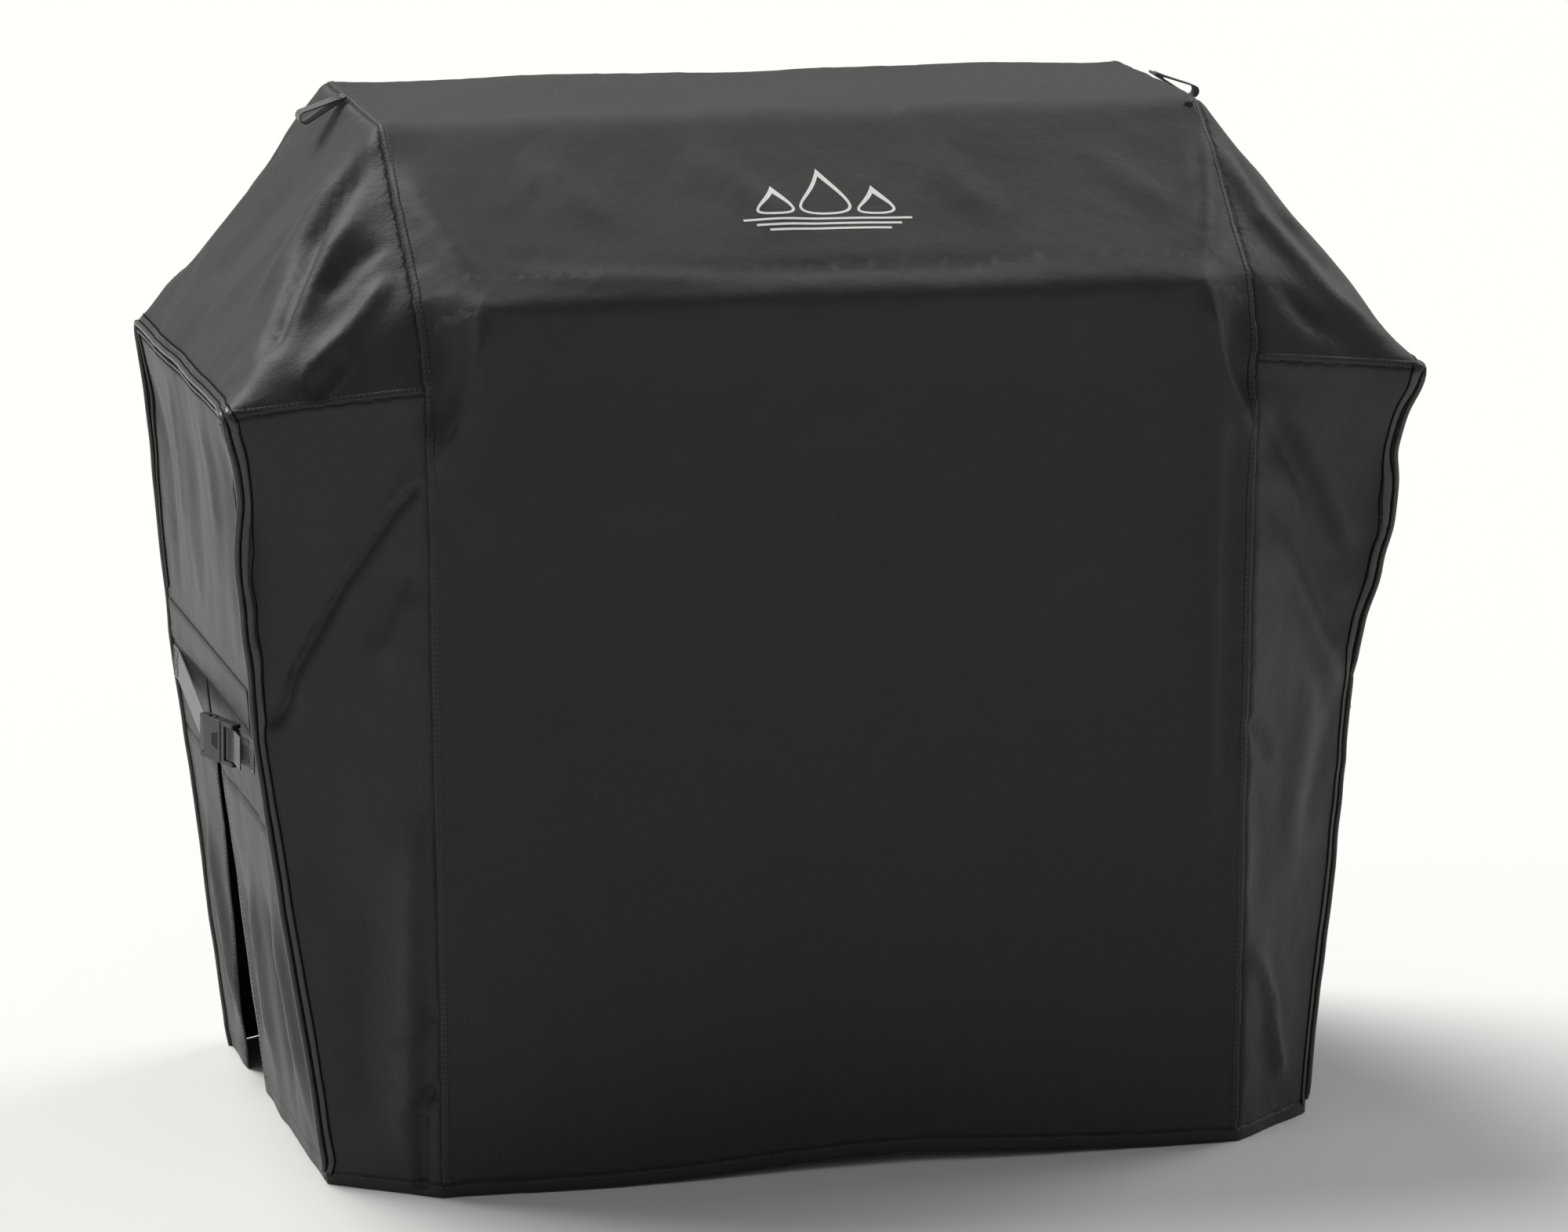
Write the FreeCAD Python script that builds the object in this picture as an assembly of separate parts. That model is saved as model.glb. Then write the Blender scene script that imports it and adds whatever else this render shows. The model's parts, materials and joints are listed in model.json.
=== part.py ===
"""Grill cover: a sewn polyester cover for a gas grill with two side tables.

The cloth is a shell of flat-cut panels, modelled where it hangs over the grill, with the hem on the ground.
Each end carries a rain flap over a mesh vent, a slit with two free corners below it, and a webbing strap
with a side-release buckle that draws the slit together. Millimetres, +Z up, +X to the right end,
-Y to the front; the origin is on the ground at the middle of the footprint.
"""

import FreeCAD, Part
import math
import os

Vector = FreeCAD.Vector

# ---- cloth
CLOTH = 1.5  # coated polyester, with its lining
HEM_HEIGHT = 15.0
HEM_EXTRA = 0.75  # the folded hem stands proud of the cloth by this on each face
PIPING_RADIUS = 3.0

# ---- the hood part, over the grill's lid
TOP_SPAN = 984.0  # between the two end seams
TOP_Z = 1190.0
TOP_FRONT_Y = -78.0
TOP_REAR_Y = 215.0
TOP_REAR_RISE = 6.0
LID_SPAN = 842.0  # the lid's front edge, which shows through as a crease
LID_Y = -324.0
LID_Z = 1020.0
SEAM_SETBACK = 49.0  # the end seam lies this far behind the lid's crease
REAR_CREASE_Y = 325.0
REAR_CREASE_Z = 1020.0

# ---- the side tables
TABLE_SPAN = 1404.0
TABLE_Z = 900.0
TABLE_FRONT_Y = -285.0
TABLE_REAR_Y = 305.0
SHOULDER_SEAM_SPAN = 980.0
SHOULDER_SEAM_Z = 925.0
SHOULDER_FRONT_Y = -322.0
SHOULDER_REAR_Y = 334.0

# ---- the strap level and the hem
WAIST_SPAN = 1320.0
WAIST_Z = 516.0
WAIST_FRONT_Y = -200.0  # the straps draw the front corners back
HEM_SPAN = 1184.0
HEM_DEPTH = 720.0  # the centre panel at the hem, front to rear
HEM_SEAM_SPAN = 956.0
HEM_CORNER_FRONT_Y = -276.0
HEM_CORNER_REAR_Y = 295.0

# ---- the vent, the rain flap and the slit in each end
VENT_HEIGHT = 112.0
SLIT_Y = 90.0
SLIT_GAP = 4.0  # at the top
SLIT_SPREAD = 95.0  # at the hem
FOLD_GAP = 0.4  # between a free corner and the cloth that it folds on
FOLD_START = 8.0  # from the corner seam to the foot of the fold
HEM_NOTCH = 2.0  # between the fixed hem and a free corner's hem
RAIN_FLAP_DROP = 1.0  # below the vent's top
RAIN_FLAP_HEIGHT = 48.0
RAIN_FLAP_MARGIN = 12.0  # from the corner seams to the flap's ends
RAIN_FLAP_STANDOFF = 0.6

# ---- the strap and its buckle
WEBBING_WIDTH = 38.0
WEBBING = 1.6
BUCKLE_CLEARANCE = 3.0  # from the buckle up to the rain flap
STRAP_STANDOFF = 0.6
STRAP_END_MARGIN = 9.0  # from the corner seam to the sewn end
STRAP_SEWN = 30.0
WEBBING_GAP = 0.2  # from the webbing to the bars that it goes round
WEBBING_LAP = 0.05  # the rear strap's run starts this far inside its ring
STRAP_LEVEL = 1.0  # the front strap comes level this far before the plug
BUCKLE_Y = -110.0  # the joint face between its halves
BUCKLE_TILT = 20.0  # degrees, rear end outwards
BUCKLE_STANDOFF = 3.0
BUCKLE_CHEEK = 6.0  # from the webbing's edge to the buckle's side
BUCKLE_THICKNESS = 13.0
SOCKET_LENGTH = 46.0
SOCKET_WALL = 3.0
SOCKET_CAVITY = 34.0
WINDOW_START = 16.0
WINDOW_END = 32.5
BAR = 5.0  # length of a webbing bar
BAR_THICKNESS = 5.0
SLOT = 4.2  # length of a webbing slot
SLOT_CLEARANCE = 1.0  # past each edge of the webbing
PLUG_BASE = 8.0
PLUG_LENGTH = 26.0
JOINT_GAP = 0.3
TONGUE_HALF = 2.5
TONGUE_LENGTH = 28.0
TONGUE_THICKNESS = 5.0
PRONG_INNER = 13.5
PRONG_OUTER = 18.0
PRONG_HEAD_INNER = 12.5
PRONG_PROUD = 1.0  # the head stands out of the window by less than the wall
PRONG_END_GAP = 0.9
TAIL_LENGTH = 34.0  # beyond the plug
TAIL_RISE = 12.0

# ---- the pull loops in the end seams
LOOP_Y = 92.0
LOOP_WIDTH = 25.0
LOOP_LENGTH = 62.0
LOOP_RADIUS = 7.5
LOOP_WEBBING = 1.5
LOOP_DROOP = 25.0  # degrees below level
LOOP_ROOT_GAP = 1.0
LOOP_LIFT = 1.2  # over the cloth
LOOP_SEWN = 12.5  # its two layers are sewn together up to here
LOOP_PARTING = 0.6  # half the gap between the layers where they part

# ---- the printed badge on the hood's front
BADGE_WIDTH = 200.0
BADGE_HEIGHT = 100.0
BADGE_LINE = 3.2
BADGE_INK = 0.4
BADGE_CENTRE_SHARE = 0.49  # of the way down the front slope
BAR_PITCH = 8.0
BAR_TAPER = 0.14  # each lower bar is shorter by this share of the badge's half width
FLAMES = ((0.0, 0.15, 1.0), (-0.3, 0.11, 0.62), (0.3, 0.11, 0.62))  # place and half width as shares, height

VENT_BOTTOM_Z = WAIST_Z - VENT_HEIGHT
RAIN_FLAP_BOTTOM_Z = WAIST_Z - RAIN_FLAP_DROP
RAIN_FLAP_TOP_Z = RAIN_FLAP_BOTTOM_Z + RAIN_FLAP_HEIGHT
BUCKLE_WIDTH = WEBBING_WIDTH + 2 * BUCKLE_CHEEK
STRAP_Z = RAIN_FLAP_BOTTOM_Z - BUCKLE_CLEARANCE - PRONG_PROUD - BUCKLE_WIDTH / 2


# ---- the corners of the cloth, on the right half
def end_x(z):
    """Half-width of the end wall at a height."""
    if z >= WAIST_Z:
        share = (z - WAIST_Z) / (TABLE_Z - WAIST_Z)
        return (WAIST_SPAN + (TABLE_SPAN - WAIST_SPAN) * share) / 2
    return (HEM_SPAN + (WAIST_SPAN - HEM_SPAN) * z / WAIST_Z) / 2


def corner_y(z, table_y, waist_y, hem_y):
    """Depth of a corner seam at a height."""
    if z >= WAIST_Z:
        return waist_y + (table_y - waist_y) * (z - WAIST_Z) / (TABLE_Z - WAIST_Z)
    return hem_y + (waist_y - hem_y) * z / WAIST_Z


def front_y(z):
    return corner_y(z, TABLE_FRONT_Y, WAIST_FRONT_Y, HEM_CORNER_FRONT_Y)


def rear_y(z):
    return corner_y(z, TABLE_REAR_Y, TABLE_REAR_Y, HEM_CORNER_REAR_Y)


def end_point(y, z):
    return Vector(end_x(z), y, z)


def slit_front(z):
    return end_point(SLIT_Y - SLIT_GAP / 2, z)


def slit_rear(z):
    share = min(1.0, max(0.0, (WAIST_Z - z) / WAIST_Z))
    return end_point(SLIT_Y + SLIT_GAP / 2 + (SLIT_SPREAD - SLIT_GAP) * share, z)


def seam_point(z, hem_y, shoulder_y):
    """A point on a centre panel's seam, below the shoulder."""
    share = z / SHOULDER_SEAM_Z
    x = (HEM_SEAM_SPAN + (SHOULDER_SEAM_SPAN - HEM_SEAM_SPAN) * share) / 2
    return Vector(x, hem_y + (shoulder_y - hem_y) * share, z)


CORNERS = {
    "top_front": Vector(TOP_SPAN / 2, TOP_FRONT_Y, TOP_Z),
    "top_rear": Vector(TOP_SPAN / 2, TOP_REAR_Y, TOP_Z + TOP_REAR_RISE),
    "crease_seam": Vector(TOP_SPAN / 2, LID_Y + SEAM_SETBACK, LID_Z),
    "lid_corner": Vector(LID_SPAN / 2, LID_Y, LID_Z),
    "rear_crease": Vector(TOP_SPAN / 2, REAR_CREASE_Y, REAR_CREASE_Z),
    "shoulder_front": Vector(SHOULDER_SEAM_SPAN / 2, SHOULDER_FRONT_Y, SHOULDER_SEAM_Z),
    "shoulder_rear": Vector(SHOULDER_SEAM_SPAN / 2, SHOULDER_REAR_Y, SHOULDER_SEAM_Z),
    "table_front": end_point(TABLE_FRONT_Y, TABLE_Z),
    "table_rear": end_point(TABLE_REAR_Y, TABLE_Z),
}
LEVELS = {"waist": WAIST_Z, "vent": VENT_BOTTOM_Z, "hem_top": HEM_HEIGHT, "hem": 0.0}
for level, height in LEVELS.items():
    CORNERS[level + "_front"] = end_point(front_y(height), height)
    CORNERS[level + "_rear"] = end_point(rear_y(height), height)
    CORNERS[level + "_slit_front"] = slit_front(height)
    CORNERS[level + "_slit_rear"] = slit_rear(height)
for level in ("hem_top", "hem"):
    CORNERS[level + "_foot_front"] = end_point(front_y(LEVELS[level]) + FOLD_START, LEVELS[level])
    CORNERS[level + "_foot_rear"] = end_point(rear_y(LEVELS[level]) - FOLD_START, LEVELS[level])
    CORNERS[level + "_seam_front"] = seam_point(LEVELS[level], -HEM_DEPTH / 2, SHOULDER_FRONT_Y)
    CORNERS[level + "_seam_rear"] = seam_point(LEVELS[level], HEM_DEPTH / 2, SHOULDER_REAR_Y)

POINTS = {}
for name, point in CORNERS.items():
    POINTS["r_" + name] = point
    POINTS["l_" + name] = Vector(-point.x, point.y, point.z)

# ---- which corners each panel joins, anticlockwise from outside, for the right half
RIGHT_PANELS = {
    "shoulder_panel": [
        ("top_front", "crease_seam", "table_front"),
        ("crease_seam", "shoulder_front", "table_front"),
        ("top_front", "table_front", "top_rear"),
        ("top_rear", "table_front", "table_rear"),
        ("top_rear", "table_rear", "rear_crease"),
        ("rear_crease", "table_rear", "shoulder_rear"),
    ],
    "front_side_panel": [
        ("shoulder_front", "waist_front", "table_front"),
        ("shoulder_front", "vent_front", "waist_front"),
        ("shoulder_front", "hem_top_seam_front", "vent_front"),
        ("hem_top_seam_front", "hem_top_front", "vent_front"),
    ],
    "rear_side_panel": [
        ("shoulder_rear", "table_rear", "waist_rear"),
        ("shoulder_rear", "waist_rear", "vent_rear"),
        ("shoulder_rear", "vent_rear", "hem_top_seam_rear"),
        ("hem_top_seam_rear", "vent_rear", "hem_top_rear"),
    ],
    "end_panel": [
        ("table_front", "waist_front", "waist_slit_front", "waist_slit_rear", "waist_rear", "table_rear")
    ],
    "front_vent_mesh": [("waist_front", "vent_front", "vent_slit_front", "waist_slit_front")],
    "rear_vent_mesh": [("waist_slit_rear", "vent_slit_rear", "vent_rear", "waist_rear")],
    "front_end_gore": [("vent_front", "hem_top_front", "hem_top_foot_front", "vent_slit_front")],
    "rear_end_gore": [("vent_slit_rear", "hem_top_foot_rear", "hem_top_rear", "vent_rear")],
}
CENTRE_PANEL = [
    ("l_hem_top_seam_front", "r_hem_top_seam_front", "r_shoulder_front", "l_shoulder_front"),
    ("l_shoulder_front", "r_shoulder_front", "r_lid_corner", "l_lid_corner"),
    ("r_shoulder_front", "r_crease_seam", "r_lid_corner"),
    ("r_crease_seam", "r_top_front", "r_lid_corner"),
    ("l_shoulder_front", "l_lid_corner", "l_crease_seam"),
    ("l_crease_seam", "l_lid_corner", "l_top_front"),
    ("l_lid_corner", "r_lid_corner", "r_top_front", "l_top_front"),
    ("l_top_front", "r_top_front", "r_top_rear", "l_top_rear"),
    ("l_top_rear", "r_top_rear", "r_rear_crease", "l_rear_crease"),
    ("l_rear_crease", "r_rear_crease", "r_shoulder_rear", "l_shoulder_rear"),
    ("l_shoulder_rear", "r_shoulder_rear", "r_hem_top_seam_rear", "l_hem_top_seam_rear"),
]


def hem_band(side):
    """The hem from one end's fold across the centre panel to the other's; side is front or rear."""
    stops = [("l", "foot_"), ("l", ""), ("l", "seam_"), ("r", "seam_"), ("r", ""), ("r", "foot_")]
    top = [f"{p}_hem_top_{q}{side}" for p, q in stops]
    low = [f"{p}_hem_{q}{side}" for p, q in stops]
    faces = []
    for i in range(len(stops) - 1):
        faces.append((low[i], low[i + 1], top[i + 1]))
        faces.append((low[i], top[i + 1], top[i]))
    return faces if side == "front" else [tuple(reversed(f)) for f in faces]


def mirrored(faces):
    return [tuple("l_" + name for name in reversed(face)) for face in faces]


def righted(faces):
    return [tuple("r_" + name for name in face) for face in faces]


PANELS = {
    "centre_panel": CENTRE_PANEL,
    "front_hem_band": hem_band("front"),
    "rear_hem_band": hem_band("rear"),
}
for node, faces in RIGHT_PANELS.items():
    PANELS["right_" + node] = righted(faces)
    PANELS["left_" + node] = mirrored(faces)


# ---- turning panels into solids
def normal_of(points):
    return (points[1] - points[0]).cross(points[2] - points[0]).normalize()


def solve3(rows, values):
    """The shortest vector whose product with each row comes nearest to its value."""
    easing = 1e-7
    m = [[sum(r[i] * r[j] for r in rows) + (easing if i == j else 0.0) for j in range(3)] for i in range(3)]
    b = [sum(r[i] * v for r, v in zip(rows, values)) for i in range(3)]
    matrix = FreeCAD.Matrix(*m[0], 0, *m[1], 0, *m[2], 0, 0, 0, 0, 1)
    return matrix.inverse().multiply(Vector(*b))


def inward_steps():
    """For each corner, the step that goes one millimetre behind every panel that meets there.

    Below the tables the steps are level, so that pieces that meet at one height meet face to face.
    """
    rows = {name: [] for name in POINTS}
    for faces in PANELS.values():
        for face in faces:
            normal = normal_of([POINTS[n] for n in face])
            for name in face:
                if not any((normal - Vector(*r)).Length < 1e-6 for r in rows[name]):
                    rows[name].append(tuple(normal))
    steps = {}
    for name, found in rows.items():
        level = any(word in name for word in ("waist", "vent", "hem"))
        if level:
            found = [(x, y, 0.0) for x, y, z in found]
        steps[name] = solve3(found, [-1.0] * len(found)) if found else Vector()
    return steps


STEPS = inward_steps()


def flat_faces(points):
    """One face where the points lie in a plane, and triangles where they don't."""
    normal = normal_of(points)
    if all(abs((p - points[0]).dot(normal)) < 1e-6 for p in points):
        return [Part.Face(Part.makePolygon(points + [points[0]]))]
    return [
        Part.Face(Part.makePolygon([points[0], points[i], points[i + 1], points[0]]))
        for i in range(1, len(points) - 1)
    ]


def solid_of(faces):
    """A closed solid from faces that share their edges."""
    shell = Part.makeShell(faces)
    shell.sewShape()
    solid = Part.makeSolid(shell)
    solid.fix(1e-5, 1e-5, 1e-5)
    if solid.Volume < 0:
        solid.reverse()
    return solid


def cloth_solid(faces, points=POINTS, steps=STEPS, proud=0.0, depth=CLOTH):
    """Cloth over the faces, from proud outside them to depth behind them."""
    outer = {n: points[n] - steps[n] * proud for f in faces for n in f}
    inner = {n: points[n] + steps[n] * depth for n in outer}
    made = []
    edges = set()
    for face in faces:
        made += flat_faces([outer[n] for n in face])
        made += flat_faces([inner[n] for n in reversed(face)])
        edges |= {(face[i], face[(i + 1) % len(face)]) for i in range(len(face))}
    for a, b in edges:
        if (b, a) in edges:
            continue
        if a < b:
            made += flat_faces([outer[b], outer[a], inner[a]])
            made += flat_faces([outer[b], inner[a], inner[b]])
        else:
            made += flat_faces([outer[b], outer[a], inner[b]])
            made += flat_faces([outer[a], inner[a], inner[b]])
    return solid_of(made)


def plate(corners, proud=0.0, depth=CLOTH):
    """Cloth over one flat outline, anticlockwise from outside."""
    names = [str(i) for i in range(len(corners))]
    points = dict(zip(names, corners))
    steps = {n: normal_of(corners) * -1 for n in names}
    return cloth_solid([tuple(names)], points, steps, proud, depth)


def level_plate(corners, proud=0.0, depth=CLOTH):
    """Cloth over one flat outline of the end wall, with level steps like its neighbours'."""
    names = [str(i) for i in range(len(corners))]
    normal = normal_of(corners)
    step = Vector(normal.x, normal.y, 0) * (-1.0 / (normal.x**2 + normal.y**2))
    return cloth_solid([tuple(names)], dict(zip(names, corners)), {n: step for n in names}, proud, depth)


def mirror_x(shape):
    return shape.mirror(Vector(), Vector(1, 0, 0))


def both_ends(parts, name, shape):
    """Puts a right-hand piece and its mirror image in parts."""
    parts["right_" + name] = shape
    parts["left_" + name] = mirror_x(shape)


# ---- the free corners of the slit
def free_corner(side):
    """The cloth corner that folds out below its diagonal, and its hem, each as a right-hand solid."""
    slit = slit_front if side == "front" else slit_rear
    inwards = 1.0 if side == "front" else -1.0
    foot = CORNERS["hem_top_foot_" + side]
    crest = slit(VENT_BOTTOM_Z)
    rise = (crest.z - foot.z) / (crest.y - foot.y)
    drop = FOLD_GAP * math.hypot(1.0, rise)
    near = foot.y + drop / abs(rise) * inwards
    slant = (slit(VENT_BOTTOM_Z).y - slit(0.0).y) / VENT_BOTTOM_Z
    top_z = (foot.z - drop + rise * (slit(0.0).y - foot.y)) / (1.0 - rise * slant)
    outline = [end_point(near, HEM_HEIGHT), slit(HEM_HEIGHT), slit(top_z)]
    start = foot.y + HEM_NOTCH * inwards
    band = [end_point(start, 0.0), slit(0.0), slit(HEM_HEIGHT), end_point(start, HEM_HEIGHT)]
    if side == "rear":
        outline.reverse()
        band.reverse()
    return level_plate(outline), level_plate(band, HEM_EXTRA, CLOTH + HEM_EXTRA)


# ---- piping
def thick_wall():
    """The cloth round the right end, thickened inwards past a cord's radius, to trim what lies inside it."""
    upper = ("table_front", "waist_front", "waist_rear", "table_rear")
    lower = ("waist_front", "vent_front", "hem_top_front", "hem_top_rear", "vent_rear", "waist_rear")
    walls = [PANELS["right_" + node] for node in ("shoulder_panel", "front_side_panel", "rear_side_panel")]
    walls.append(righted([upper, lower]))
    return [cloth_solid(faces, depth=3 * PIPING_RADIUS) for faces in walls]


def end_piping():
    """The corded seam round an end, from the front hem over the table's edge to the rear hem."""
    names = ["hem_top_front", "waist_front", "table_front", "table_rear", "waist_rear", "hem_top_rear"]
    points = [CORNERS[n] for n in names]
    points[0] = points[0] + Vector(0, 0, HEM_EXTRA)
    points[-1] = points[-1] + Vector(0, 0, HEM_EXTRA)
    path = Part.Wire([Part.makeLine(a, b) for a, b in zip(points, points[1:])])
    ring = Part.Wire([Part.makeCircle(PIPING_RADIUS, points[0], points[1] - points[0])])
    cord = path.makePipeShell([ring], True, False, 1)
    if cord.Volume < 0:
        cord.reverse()
    solids = cord.cut(thick_wall()).Solids
    return max(solids, key=lambda s: s.Volume)


# ---- strap and buckle, first in their own frame: +X from plug to socket, +Y outwards, +Z up
def box(x0, x1, y0, y1, z0, z1):
    return Part.makeBox(x1 - x0, y1 - y0, z1 - z0, Vector(x0, y0, z0))


def along_z(shape, radius):
    """Rounds the edges that run across the strap."""
    edges = [e for e in shape.Edges if abs(e.tangentAt(e.FirstParameter).z) > 0.99 and e.Length > BUCKLE_WIDTH / 2]
    return shape.makeFillet(radius, edges)


HALF_WIDTH = BUCKLE_WIDTH / 2
MID = BUCKLE_THICKNESS / 2
SLOT_HALF = WEBBING_WIDTH / 2 + SLOT_CLEARANCE
CAVITY_HALF = HALF_WIDTH - SOCKET_WALL - 1.0
WINDOW_TOP = BUCKLE_THICKNESS - SOCKET_WALL
SOCKET_BAR_X = SOCKET_LENGTH - BAR
PLUG_BAR_X = -PLUG_LENGTH
BAR_Y0 = MID - BAR_THICKNESS / 2
BAR_Y1 = MID + BAR_THICKNESS / 2


def buckle_socket():
    body = along_z(box(0, SOCKET_LENGTH, 0, BUCKLE_THICKNESS, -HALF_WIDTH, HALF_WIDTH), SOCKET_WALL * 0.8)
    hollow = box(-1, SOCKET_CAVITY, SOCKET_WALL, WINDOW_TOP, -CAVITY_HALF, CAVITY_HALF)
    windows = box(WINDOW_START, WINDOW_END, SOCKET_WALL, WINDOW_TOP, -HALF_WIDTH - 1, HALF_WIDTH + 1)
    slot = box(SOCKET_BAR_X - SLOT, SOCKET_BAR_X, -1, BUCKLE_THICKNESS + 1, -SLOT_HALF, SLOT_HALF)
    behind = box(SOCKET_BAR_X - 1, SOCKET_LENGTH + 1, -1, BAR_Y0, -SLOT_HALF, SLOT_HALF)
    before = box(SOCKET_BAR_X - 1, SOCKET_LENGTH + 1, BAR_Y1, BUCKLE_THICKNESS + 1, -SLOT_HALF, SLOT_HALF)
    return body.cut([hollow, windows, slot, behind, before])


def buckle_plug():
    body = along_z(
        box(-PLUG_LENGTH, -JOINT_GAP, 0, BUCKLE_THICKNESS, -HALF_WIDTH, HALF_WIDTH), SOCKET_WALL * 0.8
    )
    slots = []
    for x0 in (-PLUG_LENGTH + BAR, -PLUG_BASE - SLOT):
        slots.append(box(x0, x0 + SLOT, -1, BUCKLE_THICKNESS + 1, -SLOT_HALF, SLOT_HALF))
    for y0, y1 in ((-1, BAR_Y0), (BAR_Y1, BUCKLE_THICKNESS + 1)):
        slots.append(box(-PLUG_LENGTH - 1, -PLUG_BASE - 1, y0, y1, -SLOT_HALF, SLOT_HALF))
    tongue = box(
        -PLUG_BASE + 1, TONGUE_LENGTH, MID - TONGUE_THICKNESS / 2, MID + TONGUE_THICKNESS / 2, -TONGUE_HALF, TONGUE_HALF
    )
    return body.cut(slots).fuse(tongue).removeSplitter()


def buckle_prong():
    """The upper springy arm; its head stands in the socket's window."""
    y0 = MID - TONGUE_THICKNESS / 2
    head0 = WINDOW_START + PRONG_END_GAP
    head1 = WINDOW_END - PRONG_END_GAP
    root = JOINT_GAP
    tip = HALF_WIDTH + PRONG_PROUD
    outline = [
        (root, PRONG_INNER),
        (head0, PRONG_INNER),
        (head1, PRONG_HEAD_INNER),
        (head1, PRONG_OUTER),
        (head0 + (head1 - head0) / 2, tip),
        (head0, tip),
        (head0, PRONG_OUTER),
        (root, PRONG_OUTER),
    ]
    wire = Part.makePolygon([Vector(x, y0, z) for x, z in outline + outline[:1]])
    return Part.Face(wire).extrude(Vector(0, TONGUE_THICKNESS, 0))


def webbing_ring(x0, x1):
    """The webbing's turn round a bar that runs from x0 to x1."""
    gap = WEBBING_GAP
    outer = gap + WEBBING
    half = WEBBING_WIDTH / 2
    ring = box(x0 - outer, x1 + outer, BAR_Y0 - outer, BAR_Y1 + outer, -half, half)
    return ring.cut(box(x0 - gap, x1 + gap, BAR_Y0 - gap, BAR_Y1 + gap, -half - 1, half + 1))


# ---- placing the buckle on the right end
STRAP_SURFACE = end_x(STRAP_Z)
TILT = math.radians(BUCKLE_TILT)
BUCKLE_ALONG = Vector(math.sin(TILT), math.cos(TILT), 0)
BUCKLE_OUT = Vector(math.cos(TILT), -math.sin(TILT), 0)
WALL_SLOPE = (WAIST_SPAN - HEM_SPAN) / 2 / WAIST_Z
LEAN = WALL_SLOPE * (HALF_WIDTH + PRONG_PROUD)  # the wall leans out by this over half the buckle's width
BUCKLE_ORIGIN = Vector(
    STRAP_SURFACE + BUCKLE_STANDOFF + LEAN + PLUG_LENGTH * math.sin(TILT), BUCKLE_Y, STRAP_Z
)


def buckle_point(x, y, z=0.0):
    """A point of the buckle's own frame, on the right end."""
    return BUCKLE_ORIGIN + BUCKLE_ALONG * x + BUCKLE_OUT * y + Vector(0, 0, z)


def placed(shape):
    """A shape of the buckle's own frame, on the right end. The frame is left-handed, so it is mirrored first."""
    flipped = shape.mirror(Vector(), Vector(0, 1, 0))
    out = BUCKLE_OUT * -1
    matrix = FreeCAD.Matrix(
        BUCKLE_ALONG.x, out.x, 0, BUCKLE_ORIGIN.x,
        BUCKLE_ALONG.y, out.y, 0, BUCKLE_ORIGIN.y,
        0, 0, 1, BUCKLE_ORIGIN.z,
        0, 0, 0, 1,
    )
    flipped.Placement = FreeCAD.Placement(matrix)
    return flipped


def ribbon(path, thickness, z0, z1):
    """Webbing that follows a path of (x, y) points, standing from z0 to z1."""
    def side(sign):
        line = []
        for i, p in enumerate(path):
            before = (path[i] - path[i - 1]).normalize() if i else (path[1] - path[0]).normalize()
            after = (path[i + 1] - path[i]).normalize() if i < len(path) - 1 else before
            mean = (before + after).normalize()
            reach = thickness / 2 / max(0.3, mean.dot(before))
            line.append(p + Vector(mean.y, -mean.x, 0) * sign * reach)
        return line

    outline = side(1) + side(-1)[::-1]
    outline = [Vector(p.x, p.y, z0) for p in outline]
    return Part.Face(Part.makePolygon(outline + outline[:1])).extrude(Vector(0, 0, z1 - z0))


def strap_run(start_x, end_y, sewn):
    """Path on the right end, in the ground plane, from a bar of the buckle to the sewn end."""
    z1 = STRAP_Z + WEBBING_WIDTH / 2
    surface = end_x(z1) + STRAP_STANDOFF + WEBBING / 2
    start = buckle_point(start_x, BAR_Y0 - WEBBING_GAP - WEBBING / 2)
    return [Vector(start.x, start.y, 0), Vector(surface, end_y + sewn, 0), Vector(surface, end_y, 0)]


def strap_rear():
    """From the socket's bar to the rear corner seam."""
    ring = webbing_ring(SOCKET_BAR_X, SOCKET_LENGTH)
    path = strap_run(SOCKET_LENGTH + WEBBING + WEBBING_GAP - WEBBING_LAP, rear_y(STRAP_Z) - STRAP_END_MARGIN, -STRAP_SEWN)
    run = ribbon(path, WEBBING, STRAP_Z - WEBBING_WIDTH / 2, STRAP_Z + WEBBING_WIDTH / 2)
    return placed(ring).fuse(run).removeSplitter()


def strap_front():
    """From the front corner seam under the plug, up through its inner slot, and back over it to a loose tail."""
    low = BAR_Y0 - WEBBING_GAP - WEBBING / 2
    high = BAR_Y1 + WEBBING_GAP + WEBBING / 2
    turn = -PLUG_BASE - SLOT / 2
    path = strap_run(-PLUG_LENGTH - STRAP_LEVEL, front_y(STRAP_Z) + STRAP_END_MARGIN, STRAP_SEWN)[::-1]
    for x, y in (
        (turn, low), (turn, high), (-PLUG_LENGTH, high), (-PLUG_LENGTH - TAIL_LENGTH, high + TAIL_RISE)
    ):
        p = buckle_point(x, y)
        path.append(Vector(p.x, p.y, 0))
    return ribbon(path, WEBBING, STRAP_Z - WEBBING_WIDTH / 2, STRAP_Z + WEBBING_WIDTH / 2)


# ---- pull loop
def drop_shape(radius, root_x, root_half):
    """A drop in the XZ plane, with a flat root at root_x and a round tip."""
    centre = LOOP_LENGTH - LOOP_RADIUS
    reach = math.hypot(centre - root_x, root_half)
    angle = math.pi - math.atan2(root_half, centre - root_x) - math.acos(radius / reach)
    touch = Vector(centre + radius * math.cos(angle), 0, radius * math.sin(angle))
    low_touch = Vector(touch.x, 0, -touch.z)
    root = Vector(root_x, 0, root_half)
    low_root = Vector(root_x, 0, -root_half)
    edges = [
        Part.makeLine(root, touch),
        Part.Arc(touch, Vector(centre + radius, 0, 0), low_touch).toShape(),
        Part.makeLine(low_touch, low_root),
        Part.makeLine(low_root, root),
    ]
    return Part.Face(Part.Wire(edges))


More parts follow.
